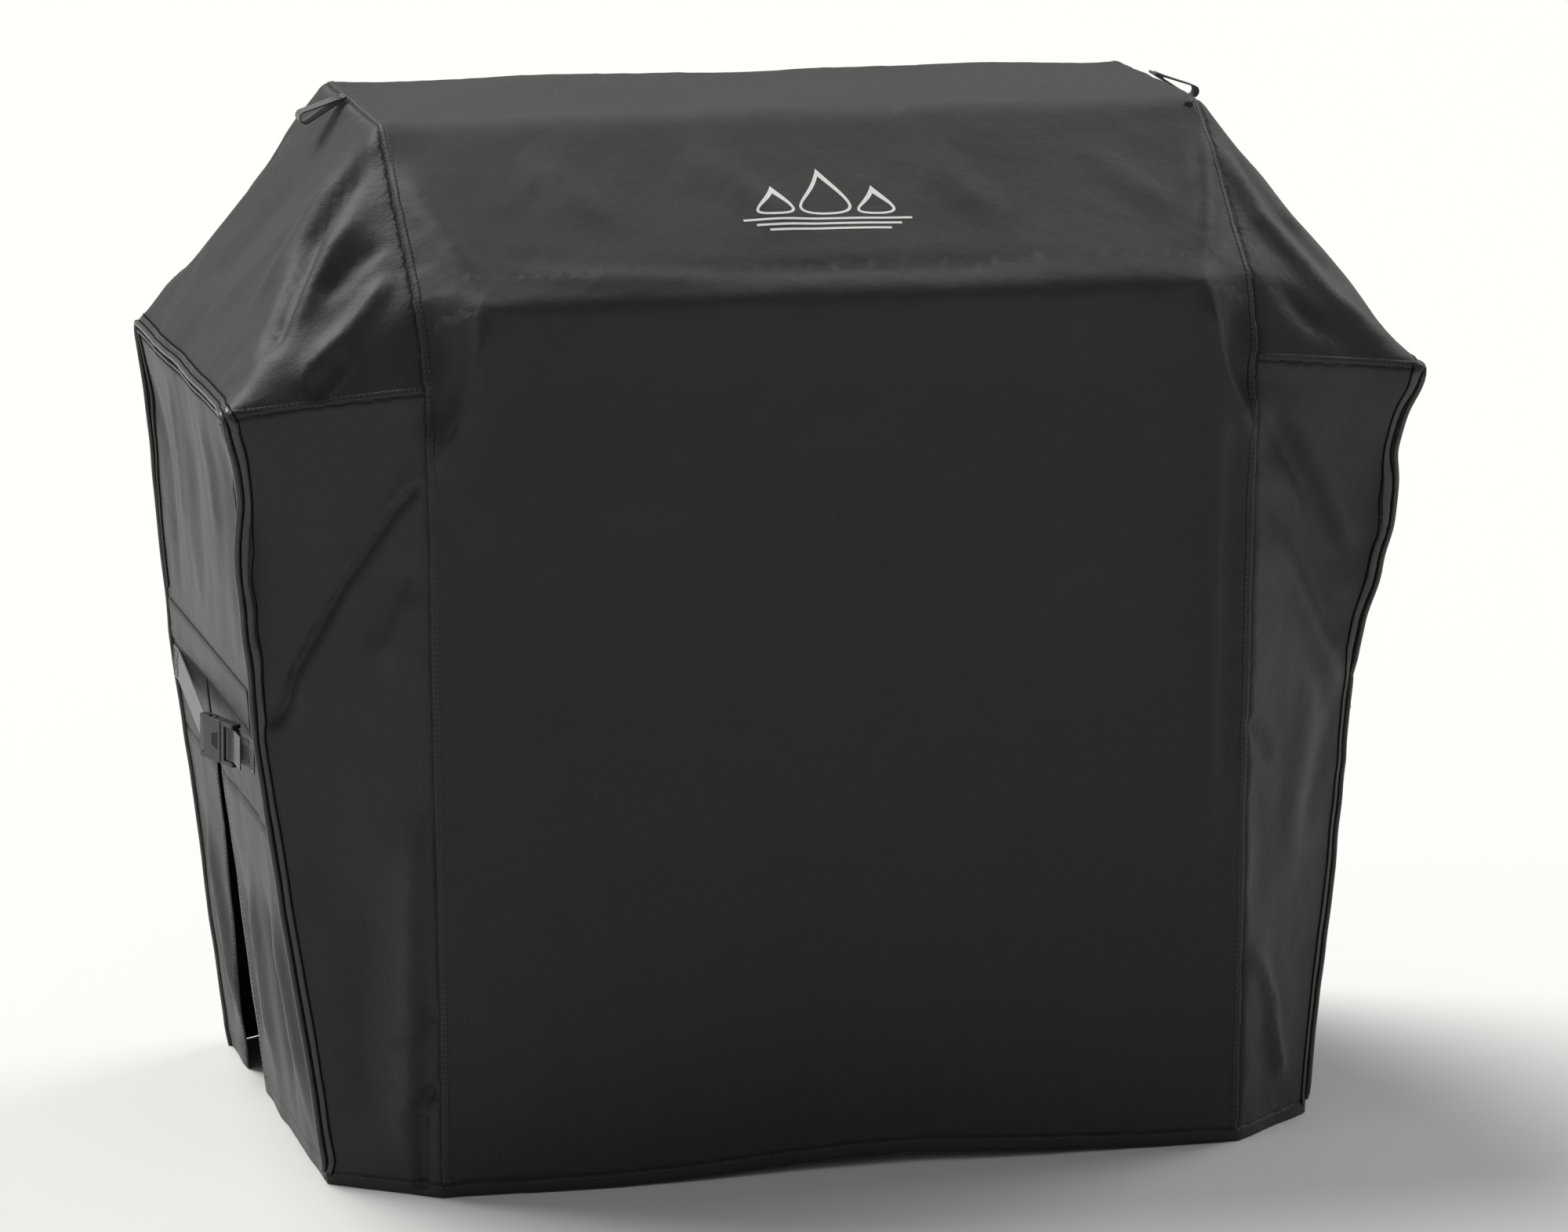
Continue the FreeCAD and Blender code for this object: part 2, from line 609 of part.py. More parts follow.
def pull_loop():
    """A folded tab of webbing that stands out of the end seam and droops."""
    outer = drop_shape(LOOP_RADIUS, LOOP_ROOT_GAP, LOOP_WEBBING)
    hole = drop_shape(LOOP_RADIUS - LOOP_WEBBING, LOOP_SEWN, LOOP_PARTING)
    tab = outer.cut(hole).extrude(Vector(0, LOOP_WIDTH, 0))
    tab.translate(Vector(0, -LOOP_WIDTH / 2, 0))
    tab.rotate(Vector(), Vector(0, 1, 0), LOOP_DROOP)
    share = (LOOP_Y - TOP_FRONT_Y) / (TOP_REAR_Y - TOP_FRONT_Y)
    tab.translate(Vector(TOP_SPAN / 2, LOOP_Y, TOP_Z + TOP_REAR_RISE * share + LOOP_WEBBING + LOOP_LIFT))
    return tab


# ---- badge
def flame(centre, half, base, tip):
    """A leaning flame that stands on y = base."""
    bulge = base + (tip - base) * 0.3
    waist = (bulge + tip) / 2
    top = Vector(centre + 0.1 * half, tip, 0)
    foot = Vector(centre, base, 0)
    left = Part.BSplineCurve()
    left.buildFromPoles(
        [foot, Vector(centre - 1.2 * half, base, 0), Vector(centre - half, bulge, 0),
         Vector(centre - 0.2 * half, waist, 0), top]
    )
    right = Part.BSplineCurve()
    right.buildFromPoles(
        [top, Vector(centre + 0.6 * half, waist, 0), Vector(centre + 1.2 * half, bulge, 0),
         Vector(centre + 1.1 * half, base, 0), foot]
    )
    return Part.Face(Part.Wire([left.toShape(), right.toShape()]))


def badge():
    """Generic outlined flames over three grate bars, printed on the front slope."""
    low = -BADGE_HEIGHT / 2
    pieces = []
    for i in range(3):
        half = BADGE_WIDTH / 2 * (1.0 - BAR_TAPER * (2 - i))
        y = low + i * BAR_PITCH
        pieces.append(box(-half, half, y, y + BADGE_LINE, 0, BADGE_INK))
    base = low + 3 * BAR_PITCH
    for shift, share, tall in FLAMES:
        centre = shift * BADGE_WIDTH
        half = share * BADGE_WIDTH
        tip = base + (BADGE_HEIGHT / 2 - base) * tall
        outline = flame(centre, half, base, tip)
        inside = flame(centre, half - BADGE_LINE, base + BADGE_LINE, tip - 4 * BADGE_LINE)
        pieces.append(outline.cut(inside).extrude(Vector(0, 0, BADGE_INK)))
    mark = Part.makeCompound(pieces)
    down = Vector(0, LID_Y - TOP_FRONT_Y, LID_Z - TOP_Z)
    centre = Vector(0, TOP_FRONT_Y, TOP_Z) + down * BADGE_CENTRE_SHARE
    up = down.normalize() * -1
    out = Vector(1, 0, 0).cross(up)
    mark.Placement = FreeCAD.Placement(
        FreeCAD.Matrix(1, up.x, out.x, centre.x, 0, up.y, out.y, centre.y, 0, up.z, out.z, centre.z, 0, 0, 0, 1)
    )
    return mark


# ---- rain flap
def rain_flap():
    lift = RAIN_FLAP_STANDOFF
    y0 = front_y(RAIN_FLAP_BOTTOM_Z) + RAIN_FLAP_MARGIN
    y1 = TABLE_REAR_Y - RAIN_FLAP_MARGIN
    slope = (TABLE_SPAN - WAIST_SPAN) / 2 / (TABLE_Z - WAIST_Z)

    def at(y, z):
        return Vector(WAIST_SPAN / 2 + slope * (z - WAIST_Z), y, z)

    corners = [at(y0, RAIN_FLAP_BOTTOM_Z), at(y1, RAIN_FLAP_BOTTOM_Z), at(y1, RAIN_FLAP_TOP_Z), at(y0, RAIN_FLAP_TOP_Z)]
    return plate(corners, lift + CLOTH, -lift)


def build():
    parts = {}
    for node, faces in PANELS.items():
        hem = node.endswith("hem_band")
        proud, depth = (HEM_EXTRA, CLOTH + HEM_EXTRA) if hem else (0.0, CLOTH)
        parts[node] = cloth_solid(faces, proud=proud, depth=depth)
    for side in ("front", "rear"):
        corner, hem = free_corner(side)
        both_ends(parts, side + "_slit_corner", corner)
        both_ends(parts, side + "_slit_hem", hem)
    both_ends(parts, "rain_flap", rain_flap())
    both_ends(parts, "end_piping", end_piping())
    both_ends(parts, "buckle_socket", placed(buckle_socket()))
    both_ends(parts, "buckle_plug", placed(buckle_plug()))
    prong = buckle_prong()
    both_ends(parts, "buckle_upper_prong", placed(prong))
    both_ends(parts, "buckle_lower_prong", placed(prong.mirror(Vector(), Vector(0, 0, 1))))
    both_ends(parts, "strap_front", strap_front())
    both_ends(parts, "strap_rear", strap_rear())
    both_ends(parts, "pull_loop", pull_loop())
    parts["front_badge"] = badge()
    return parts


def main():
    os.makedirs("parts", exist_ok=True)
    for node, shape in build().items():
        shape.exportStep(f"parts/{node}.step")


main()
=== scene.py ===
import json
import math

import bmesh
import bpy
from mathutils import Matrix, Vector, noise
from mathutils.bvhtree import BVHTree
from mathutils.kdtree import KDTree


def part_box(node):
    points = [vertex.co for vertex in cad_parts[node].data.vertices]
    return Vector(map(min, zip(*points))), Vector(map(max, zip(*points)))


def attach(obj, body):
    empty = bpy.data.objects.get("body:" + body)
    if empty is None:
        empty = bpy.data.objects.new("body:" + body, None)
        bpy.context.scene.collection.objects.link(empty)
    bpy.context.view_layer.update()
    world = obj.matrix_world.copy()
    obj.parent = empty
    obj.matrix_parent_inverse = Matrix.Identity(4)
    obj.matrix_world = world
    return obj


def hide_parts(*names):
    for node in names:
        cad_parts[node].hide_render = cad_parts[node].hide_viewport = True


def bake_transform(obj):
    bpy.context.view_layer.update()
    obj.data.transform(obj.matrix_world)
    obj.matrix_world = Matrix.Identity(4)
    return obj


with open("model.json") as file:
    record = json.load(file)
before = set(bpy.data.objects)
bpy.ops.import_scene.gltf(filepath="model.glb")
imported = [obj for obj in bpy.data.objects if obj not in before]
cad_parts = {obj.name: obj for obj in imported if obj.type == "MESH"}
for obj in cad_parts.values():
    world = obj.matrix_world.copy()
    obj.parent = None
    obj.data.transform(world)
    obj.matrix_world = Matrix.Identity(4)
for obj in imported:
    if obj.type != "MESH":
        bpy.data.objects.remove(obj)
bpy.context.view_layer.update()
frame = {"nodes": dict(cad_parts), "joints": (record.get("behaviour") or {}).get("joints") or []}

SCENE = bpy.context.scene
NODES = frame["nodes"]
SIDES = (("right", 1), ("left", -1))
ENDS = ("front", "rear")

# ---- sizes, in metres
CLOTH = 0.0012
GRID = 0.0115  # edge length of the cloth mesh
WELD = 0.0026  # joins the cut panels at their seams
HEART = Vector((0, 0, 0.5))  # a point well inside the cover

# ---- places on the frame
SEAM_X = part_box("centre_panel")[1].x
end_low, end_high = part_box("right_end_panel")
TABLE_X = end_high.x
END_FRONT_Y = end_low.y
END_REAR_Y = end_high.y
STRAP_LOW_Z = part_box("right_strap_rear")[0].z
FLAP_TOP_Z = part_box("right_rain_flap")[1].z


def joint(name):
    return next(j for j in frame["joints"] if j["name"] == name)


LOOP_ROOTS = {side: Vector(joint(f"{side}_loop_swing")["pos_m"]) for side, _ in SIDES}


# ---- folds that need a finer mesh
LID_RIDGE = [(-0.422, -0.316, 1.018), (-0.444, -0.320, 0.915), (-0.470, -0.320, 0.860),
             (-0.489, -0.320, 0.828)]
LONG_FOLD = [
    (-0.491, -0.320, 0.830), (-0.499, -0.315, 0.822), (-0.524, -0.294, 0.787), (-0.549, -0.270, 0.741),
    (-0.571, -0.258, 0.703), (-0.592, -0.246, 0.658), (-0.622, -0.222, 0.590), (-0.630, -0.219, 0.557),
    (-0.650, -0.205, 0.522)
]
BULGE = [(-0.496, -0.332, 0.470), (-0.502, -0.337, 0.323), (-0.503, -0.342, 0.237), (-0.504, -0.344, 0.156),
         (-0.508, -0.340, 0.010)]
SHARP_FOLDS = [LID_RIDGE, [(-x, y, z) for x, y, z in LID_RIDGE], LONG_FOLD, BULGE]


# ---- which CAD panels make each sewn piece
def sewn_pieces():
    pieces = {"centre_cloth": ["centre_panel"], "front_hem": ["front_hem_band"],
              "rear_hem": ["rear_hem_band"]}
    for side, _ in SIDES:
        for panel in ("shoulder", "front_side", "rear_side", "end"):
            pieces[f"{side}_{panel}_cloth"] = [f"{side}_{panel}_panel"]
        for end in ENDS:
            pieces[f"{side}_{end}_vent"] = [f"{side}_{end}_vent_mesh"]
            pieces[f"{side}_{end}_skirt"] = [
                f"{side}_{end}_end_gore", f"{side}_{end}_slit_corner", f"{side}_{end}_slit_hem"
            ]
    return pieces


PIECES = sewn_pieces()
PIECE_NAMES = list(PIECES)


# ---- the sewn shell
def outside_of(node):
    """The outside faces of one CAD panel."""
    bm = bmesh.new()
    bm.from_mesh(NODES[node].data)
    bmesh.ops.remove_doubles(bm, verts=bm.verts[:], dist=1e-5)
    bm.normal_update()
    tree = BVHTree.FromBMesh(bm)
    hidden = []
    for face in bm.faces:
        centre = face.calc_center_median()
        behind = tree.ray_cast(centre - face.normal * 1e-4, -face.normal, 0.006)[1]
        if behind is None or behind.dot(face.normal) > -0.9 or face.normal.dot(centre - HEART) < 0:
            hidden.append(face)
    bmesh.ops.delete(bm, geom=hidden, context="FACES")
    return bm


def sewn_shell():
    """All cloth panels' outsides, joined at their seams; each face knows its piece."""
    shell = bmesh.new()
    for index, nodes in enumerate(PIECES.values()):
        for node in nodes:
            panel = outside_of(node)
            layer = panel.faces.layers.int.new("piece")
            for face in panel.faces:
                face[layer] = index
            mesh = bpy.data.meshes.new("cut")
            panel.to_mesh(mesh)
            panel.free()
            shell.from_mesh(mesh)
            bpy.data.meshes.remove(mesh)
    bmesh.ops.remove_doubles(shell, verts=shell.verts[:], dist=WELD)
    bmesh.ops.triangulate(shell, faces=shell.faces[:])
    return shell


def in_plane(edge, layer):
    """True for an edge inside one flat stretch of one piece."""
    faces = edge.link_faces
    return (len(faces) == 2 and faces[0][layer] == faces[1][layer]
                and faces[0].normal.dot(faces[1].normal) > 0.9999)


def refine(bm, length, wanted=None, rounds=10):
    """Divides the shell, or only its wanted edges, into even triangles."""
    layer = bm.faces.layers.int["piece"]
    for _ in range(rounds):
        long_edges = [e for e in bm.edges
                      if e.calc_length() > 1.35 * length and (wanted is None or wanted(e))]
        if not long_edges:
            break
        bmesh.ops.subdivide_edges(bm, edges=long_edges, cuts=1)
        bmesh.ops.triangulate(bm, faces=[f for f in bm.faces if len(f.verts) > 3])
        bm.normal_update()
        flat = [e for e in bm.edges if in_plane(e, layer)]
        bmesh.ops.beautify_fill(bm, faces=bm.faces[:], edges=flat)
        bm.normal_update()
        inner = [v for v in bm.verts if all(in_plane(e, layer) for e in v.link_edges)]
        for _ in range(3):
            bmesh.ops.smooth_vert(bm, verts=inner, factor=0.5, use_axis_x=True, use_axis_y=True,
                                  use_axis_z=True)
    bm.normal_update()


# ---- the flat cut of each piece, kept as its UV map, in metres
def profile_of_centre():
    """The centre panel's outline seen from its side, from the front hem to the rear hem, as (y, z)."""
    cut = outside_of("centre_panel")
    ring = {(round(v.co.y, 4), round(v.co.z, 4)) for v in cut.verts}
    cut.free()
    return [Vector(p) for p in sorted(ring, key=lambda p: math.atan2(p[1] - HEART.z, p[0]) % (2 * math.pi),
                                      reverse=True)]


def along_profile(profile, y, z):
    """Distance along the profile to its point nearest (y, z)."""
    best = (1e9, 0.0)
    run = 0.0
    for a, b in zip(profile, profile[1:]):
        span = b - a
        share = min(1.0, max(0.0, (Vector((y, z)) - a).dot(span) / span.length_squared))
        gap = (Vector((y, z)) - a - span * share).length
        best = min(best, (gap, run + share * span.length))
        run += span.length
    return best[1]


def lay_flat(bm):
    """Writes the cut's own coordinates to the UV map and returns each piece's flat size and area."""
    layer = bm.faces.layers.int["piece"]
    uv = bm.loops.layers.uv.new("cut")
    profile = profile_of_centre()
    cuts = {}
    for index, name in enumerate(PIECES):
        faces = [f for f in bm.faces if f[layer] == index]
        normal = sum((f.normal * f.calc_area() for f in faces), Vector()).normalized()
        across = Vector((0, 0, 1)).cross(normal).normalized()
        up = normal.cross(across)
        spread = []
        for face in faces:
            for loop in face.loops:
                at = loop.vert.co
                if name == "centre_cloth":
                    flat = Vector((at.x, along_profile(profile, at.y, at.z)))
                else:
                    flat = Vector((at.dot(across), at.dot(up)))
                loop[uv].uv = flat
                spread.append(flat)
        width = max(p.x for p in spread) - min(p.x for p in spread)
        length = max(p.y for p in spread) - min(p.y for p in spread)
        area = sum(f.calc_area() for f in faces)
        cuts[name] = (width, length, min(area, width * length))
    return cuts


# ---- seams
def pieces_at(edge, layer):
    return {PIECE_NAMES[f[layer]] for f in edge.link_faces}


def is_end(name):
    return name.endswith(("_end_cloth", "_vent", "_skirt"))


def seam_edges(bm):
    """Edges between two pieces, the hems' upper edges among them."""
    layer = bm.faces.layers.int["piece"]
    return [e for e in bm.edges if len(pieces_at(e, layer)) > 1]


def piped_edges(bm):
    """Edges of the corded seams round the two ends."""
    layer = bm.faces.layers.int["piece"]
    return [e for e in seam_edges(bm) if len({is_end(n) for n in pieces_at(e, layer)}) == 2]


def beside_seams(bm, reach):
    """A test for edges that lie within reach of a seam or a sharp fold."""
    places = [v.co.copy() for v in {v for e in seam_edges(bm) for v in e.verts}]
    for line in SHARP_FOLDS:
        for a, b in zip(line, line[1:]):
            for k in range(9):
                spot = Vector(a).lerp(Vector(b), k / 8)
                places += [spot, spot + Vector((0.010, 0, 0.006)), spot - Vector((0.010, 0, 0.006))]
    tree = KDTree(len(places))
    for i, place in enumerate(places):
        tree.insert(place, i)
    tree.balance()
    return lambda edge: all(tree.find(v.co)[2] < reach for v in edge.verts)


def chain_of(edges):
    """The vertices of a row of edges, in order."""
    ends = {}
    for edge in edges:
        for vert in edge.verts:
            ends.setdefault(vert, []).append(edge)
    start = min((v for v in ends if len(ends[v]) == 1), key=lambda v: (v.co.z, v.co.y),
                default=edges[0].verts[0])
    row = [start]
    used = set()
    while True:
        onward = [e for e in ends[row[-1]] if e not in used]
        if not onward:
            return row
        used.add(onward[0])
        row.append(onward[0].other_vert(row[-1]))


# ---- shaping the cloth
def soften(bm, rounds):
    """Rounds the creases between flat stretches, but keeps the corded seams, the hem and the slits."""
    firm = {v for e in piped_edges(bm) for v in e.verts}
    firm |= {v for v in bm.verts if v.is_boundary}
    loose = [v for v in bm.verts if v not in firm]
    for _ in range(rounds):
        bmesh.ops.smooth_vert(bm, verts=loose, factor=0.5, use_axis_x=True, use_axis_y=True, use_axis_z=True)
    bm.normal_update()


def smoothstep(low, high, value):
    share = min(1.0, max(0.0, (value - low) / (high - low)))
    return share * share * (3 - 2 * share)


class Folds:
    """Raises folds along lines on the cloth; height is negative for a valley."""

    def __init__(self, bm):
        self.bm = bm
        self.verts = bm.verts[:]
        self.normals = [v.normal.copy() for v in self.verts]
        self.places = [v.co.copy() for v in self.verts]
        self.tree = KDTree(len(self.verts))
        for i, place in enumerate(self.places):
            self.tree.insert(place, i)
        self.tree.balance()
        self.surface = BVHTree.FromBMesh(bm)

    def onto(self, place):
        """The point of the cloth straight behind a place in front of it, or else the nearest one."""
        place = Vector(place)
        if abs(place.y) > 0.2 and place.z < 1.0:
            facing = math.copysign(1.0, place.y)
            hit = self.surface.ray_cast(Vector((place.x, facing, place.z)), Vector((0, -facing, 0)))[0]
            if hit and hit.y * facing > 0.1:
                return hit
        return self.surface.find_nearest(place)[0]

    def add(self, line, height, width, sharp_side=0.0, fade=0.25):
        """One fold along line; a sharp_side of 1 or -1 makes that flank steep, as in cloth that is pulled."""
        line = [self.onto(p) for p in line]
        reach = 3.2 * width
        near = set()
        for a, b in zip(line, line[1:]):
            steps = max(1, int((b - a).length / width))
            for k in range(steps + 1):
                near |= {i for _, i, _ in self.tree.find_range(a.lerp(b, k / steps), reach)}
        total = sum((b - a).length for a, b in zip(line, line[1:]))
        for i in near:
            place = self.places[i]
            best = None
            run = 0.0
            for a, b in zip(line, line[1:]):
                span = b - a
                share = min(1.0, max(0.0, (place - a).dot(span) / span.length_squared))
                offset = place - a - span * share
                if best is None or offset.length < best[0]:
                    side = offset.dot(self.normals[i].cross(span))
                    best = (offset.length, math.copysign(1.0, side), (run + share * span.length) / total)
                run += span.length
            distance, side, share = best
            flank = width * (1.0 - 0.55 * sharp_side * side)
            rise = math.exp(-((distance / flank) ** 2))
            ease = smoothstep(0.0, fade, share) * smoothstep(0.0, fade, 1.0 - share) if fade else 1.0
            self.verts[i].co += self.normals[i] * (height * rise * ease)

    def swell(self, centre, height, radius):
        """A soft bulge or hollow; radius gives its half-sizes in X, Y and Z."""
        centre = Vector(centre)
        for vert, place, normal in zip(self.verts, self.places, self.normals):
            offset = place - centre
            far = sum((offset[k] / radius[k]) ** 2 for k in range(3))
            if far < 6.0:
                vert.co += normal * (height * math.exp(-far))

    def hold(self, within, margin):
        """Lays the cloth flat again on the end walls between two corners of a box."""
        low, high = within
        for vert, place, normal in zip(self.verts, self.places, self.normals):
            if abs(normal.x) > 0.8:
                outside = max(max(low[k] - place[k], place[k] - high[k], 0.0) for k in (1, 2))
                vert.co = vert.co.lerp(place, 1.0 - smoothstep(0.0, margin, outside))

    def settle(self, centre, radius):
        """Lays the cloth flat again round a point."""
        for vert, place in zip(self.verts, self.places):
            far = (place - Vector(centre)).length
            if far < 2 * radius:
                vert.co = vert.co.lerp(place, 1.0 - smoothstep(radius, 2 * radius, far))

    def ripple(self, height, stretch, seed, only=None):
        """Gentle unevenness over the whole cloth; stretch is the size of its waves in X, Y and Z."""
        shift = Vector((seed * 3.1, seed * 7.7, seed * 1.3))
        for vert, place, normal in zip(self.verts, self.places, self.normals):
            amount = 1.0 if only is None else only(place)
            if amount:
                at = Vector((place[k] / stretch[k] for k in range(3))) + shift
                vert.co += normal * (height * amount * noise.noise(at))


def mirrored(line):
    return [(-x, y, z) for x, y, z in line]


def fold_cloth(bm):
    folds = Folds(bm)
    # the lid's front corners push out a ridge that runs down to the seam, with a hollow beside it
    hollow = [(-0.450, -0.300, 1.000), (-0.472, -0.312, 0.925), (-0.488, -0.318, 0.865)]
    for flip in (list, mirrored):
        folds.add(flip(LID_RIDGE), 0.017, 0.013, -0.7 if flip is list else 0.7, 0.24)
        folds.add(flip(hollow), -0.012, 0.016, fade=0.3)
    folds.add([(-0.440, -0.322, 0.975), (-0.452, -0.323, 0.900), (-0.455, -0.324, 0.830)], -0.006, 0.012,
              fade=0.4)
    folds.add([(0.440, -0.322, 0.960), (0.441, -0.330, 0.760), (0.436, -0.343, 0.500),
               (0.437, -0.350, 0.330)], 0.008, 0.014)
    folds.add([(0.466, -0.320, 0.900), (0.462, -0.326, 0.700), (0.458, -0.336, 0.400)], -0.006, 0.014)
    # left shoulder: one long valley from the top corner, a shorter pair by the lower seam
    folds.add([(-0.507, -0.089, 1.165), (-0.534, -0.102, 1.121), (-0.565, -0.122, 1.063),
               (-0.619, -0.190, 1.008), (-0.659, -0.250, 0.952)], -0.019, 0.019, -0.5, 0.16)
    folds.add([(-0.515, -0.055, 1.160), (-0.570, -0.080, 1.085), (-0.640, -0.110, 0.985)], 0.007, 0.022, 0.0,
              0.3)
    folds.add([(-0.515, -0.150, 1.120), (-0.560, -0.172, 1.060), (-0.612, -0.215, 1.000),
               (-0.650, -0.258, 0.950)], 0.009, 0.015, 0.0, 0.3)
    folds.add([(-0.501, -0.199, 1.081), (-0.547, -0.207, 1.050), (-0.594, -0.225, 1.010)], -0.007, 0.012, 0.4,
              0.3)
    folds.add([(-0.505, -0.232, 1.050), (-0.545, -0.258, 1.010), (-0.579, -0.270, 0.977),
               (-0.631, -0.289, 0.923)], 0.009, 0.012, 0.0, 0.25)
    folds.add([(-0.569, -0.283, 0.972), (-0.599, -0.288, 0.938), (-0.618, -0.294, 0.912)], -0.010, 0.010,
              -0.4, 0.3)
    folds.add([(-0.540, 0.050, 1.120), (-0.600, 0.080, 1.040), (-0.670, 0.120, 0.945)], -0.004, 0.030, 0.0,
              0.3)
    folds.add([(-0.530, -0.080, 1.140), (-0.600, -0.020, 1.040), (-0.670, 0.030, 0.945)], 0.003, 0.030, 0.0,
              0.3)
    # right shoulder: ridges that run from the top corner to the table's corner
    folds.add([(0.498, -0.110, 1.160), (0.530, -0.200, 1.070), (0.590, -0.262, 0.990),
               (0.680, -0.285, 0.915)], 0.010, 0.016, 0.3, 0.25)
    folds.add([(0.515, -0.100, 1.150), (0.570, -0.180, 1.060), (0.650, -0.240, 0.965)], -0.010, 0.018, 0.0,
              0.3)
    folds.add([(0.510, -0.060, 1.160), (0.590, -0.120, 1.050), (0.680, -0.200, 0.930)], 0.006, 0.020, 0.0,
              0.3)
    folds.add([(0.510, -0.262, 1.010), (0.560, -0.283, 0.965), (0.610, -0.288, 0.930)], -0.006, 0.014, 0.0,
              0.4)
    # hood: the cloth sags a little between the lid's corners, with slack near the seams
    folds.add([(-0.478, -0.120, 1.150), (-0.452, -0.220, 1.085), (-0.425, -0.300, 1.035)], 0.004, 0.018, 0.0,
              0.3)
    folds.add([(0.482, -0.100, 1.165), (0.462, -0.200, 1.095), (0.436, -0.290, 1.040)], 0.006, 0.014, 0.0,
              0.3)
    folds.add([(0.30, -0.285, 1.043), (0.05, -0.288, 1.040), (-0.25, -0.284, 1.042)], -0.003, 0.012, 0.0, 0.4)
    folds.add([(-0.10, -0.300, 1.034), (-0.30, -0.290, 1.040), (-0.40, -0.270, 1.052)], 0.003, 0.010, 0.0,
              0.4)
    for x, reach in ((-0.33, 0.09), (-0.14, 0.12), (0.12, 0.10), (0.31, 0.13)):
        folds.add([(x, -0.11, 1.168), (x + 0.5 * reach, -0.19, 1.112), (x + reach, -0.25, 1.070)], 0.0035,
                  0.024, 0.0, 0.4)
    # left front side panel: the fold that runs from the ridge's foot to the corner at the strap
    folds.add(LONG_FOLD, -0.011, 0.0075, -0.85, 0.06)
    folds.add([(x + 0.014, y, z + 0.010) for x, y, z in LONG_FOLD], 0.007, 0.013, 0.0, 0.15)
    folds.add([(-0.500, -0.310, 0.745), (-0.523, -0.300, 0.703), (-0.541, -0.290, 0.655),
               (-0.554, -0.281, 0.620)], -0.007, 0.011, -0.5, 0.3)
    folds.add([(-0.498, -0.312, 0.705), (-0.512, -0.305, 0.660), (-0.528, -0.298, 0.600)], 0.005, 0.013, 0.0,
              0.3)
    folds.add([(-0.510, -0.318, 0.905), (-0.560, -0.306, 0.840), (-0.620, -0.296, 0.760)], 0.002, 0.022, 0.0,
              0.4)
    folds.add([(-0.560, -0.300, 0.500), (-0.580, -0.290, 0.400), (-0.600, -0.285, 0.300)], -0.004, 0.030, 0.0,
              0.4)
    # a bulge beside the lower seam, steep toward it, gathered in two places
    folds.add(BULGE, 0.015, 0.019, 0.8, 0.22)
    folds.add([(-0.540, -0.315, 0.400), (-0.552, -0.305, 0.250), (-0.560, -0.300, 0.060)], -0.007, 0.026, 0.0,
              0.3)
    folds.add([(-0.481, -0.346, 0.228), (-0.500, -0.338, 0.200), (-0.524, -0.325, 0.172)], -0.007, 0.008,
              -0.5, 0.25)
    folds.add([(-0.480, -0.350, 0.140), (-0.498, -0.344, 0.112), (-0.512, -0.335, 0.070)], -0.009, 0.008,
              -0.5, 0.25)
    folds.add([(-0.497, -0.344, 0.100), (-0.500, -0.343, 0.060), (-0.499, -0.341, 0.002)], -0.008, 0.008, 0.0,
              0.1)
    # right front side panel: broad slanting waves
    for low, tall in ((0.0, 0.010), (0.080, 0.007), (0.170, 0.005)):
        folds.add([(0.500, -0.320, 0.905 - low), (0.575, -0.305, 0.800 - low), (0.650, -0.292, 0.660 - low)],
                  tall, 0.022, 0.0, 0.2)
        folds.add([(0.500, -0.320, 0.865 - low), (0.560, -0.308, 0.775 - low), (0.640, -0.294, 0.630 - low)],
                  -0.8 * tall, 0.018, 0.0, 0.2)
    folds.add([(0.600, -0.300, 0.560), (0.570, -0.303, 0.400), (0.555, -0.308, 0.270)], 0.005, 0.030, 0.0,
              0.3)
    folds.add([(0.640, -0.290, 0.500), (0.605, -0.288, 0.420), (0.575, -0.292, 0.330)], -0.004, 0.020, 0.0,
              0.3)
    folds.add([(0.484, -0.345, 0.225), (0.515, -0.330, 0.200), (0.531, -0.318, 0.160), (0.540, -0.313, 0.105),
               (0.556, -0.301, 0.043)], 0.007, 0.010, 0.4, 0.2)
    folds.add([(0.482, -0.335, 0.510), (0.495, -0.326, 0.490), (0.524, -0.309, 0.445)], -0.005, 0.009, 0.4,
              0.25)
    folds.add([(0.500, -0.325, 0.440), (0.505, -0.328, 0.340), (0.500, -0.340, 0.240)], -0.003, 0.020, 0.0,
              0.3)
    # the rear hangs in the same way, with its own folds
    for flip, lean in ((list, 0.0), (mirrored, 0.02)):
        folds.add(flip([(-0.470, 0.325, 0.990), (-0.485, 0.332, 0.900), (-0.490, 0.335, 0.820)]), 0.008,
                  0.018, 0.0, 0.3)
        folds.add(flip([(-0.500, 0.330, 0.850 - lean), (-0.580, 0.318, 0.700), (-0.655, 0.307, 0.540)]),
                  -0.010, 0.016, 0.4, 0.15)
        folds.add(flip([(-0.500, 0.333, 0.760), (-0.560, 0.322, 0.620 - lean), (-0.620, 0.311, 0.480)]),
                  0.008, 0.024, 0.0, 0.25)
        folds.add(flip([(-0.540, 0.325, 0.450), (-0.530, 0.330, 0.300), (-0.520, 0.335, 0.060)]), 0.012,
                  0.028, 0.0, 0.3)
        folds.add(flip([(-0.520, 0.200, 1.150), (-0.590, 0.240, 1.050), (-0.670, 0.270, 0.940)]), -0.012,
                  0.022, 0.4, 0.3)
        folds.add(flip([(-0.515, 0.290, 1.020), (-0.560, 0.300, 0.985), (-0.620, 0.305, 0.945)]), 0.007,
                  0.016, 0.0, 0.3)
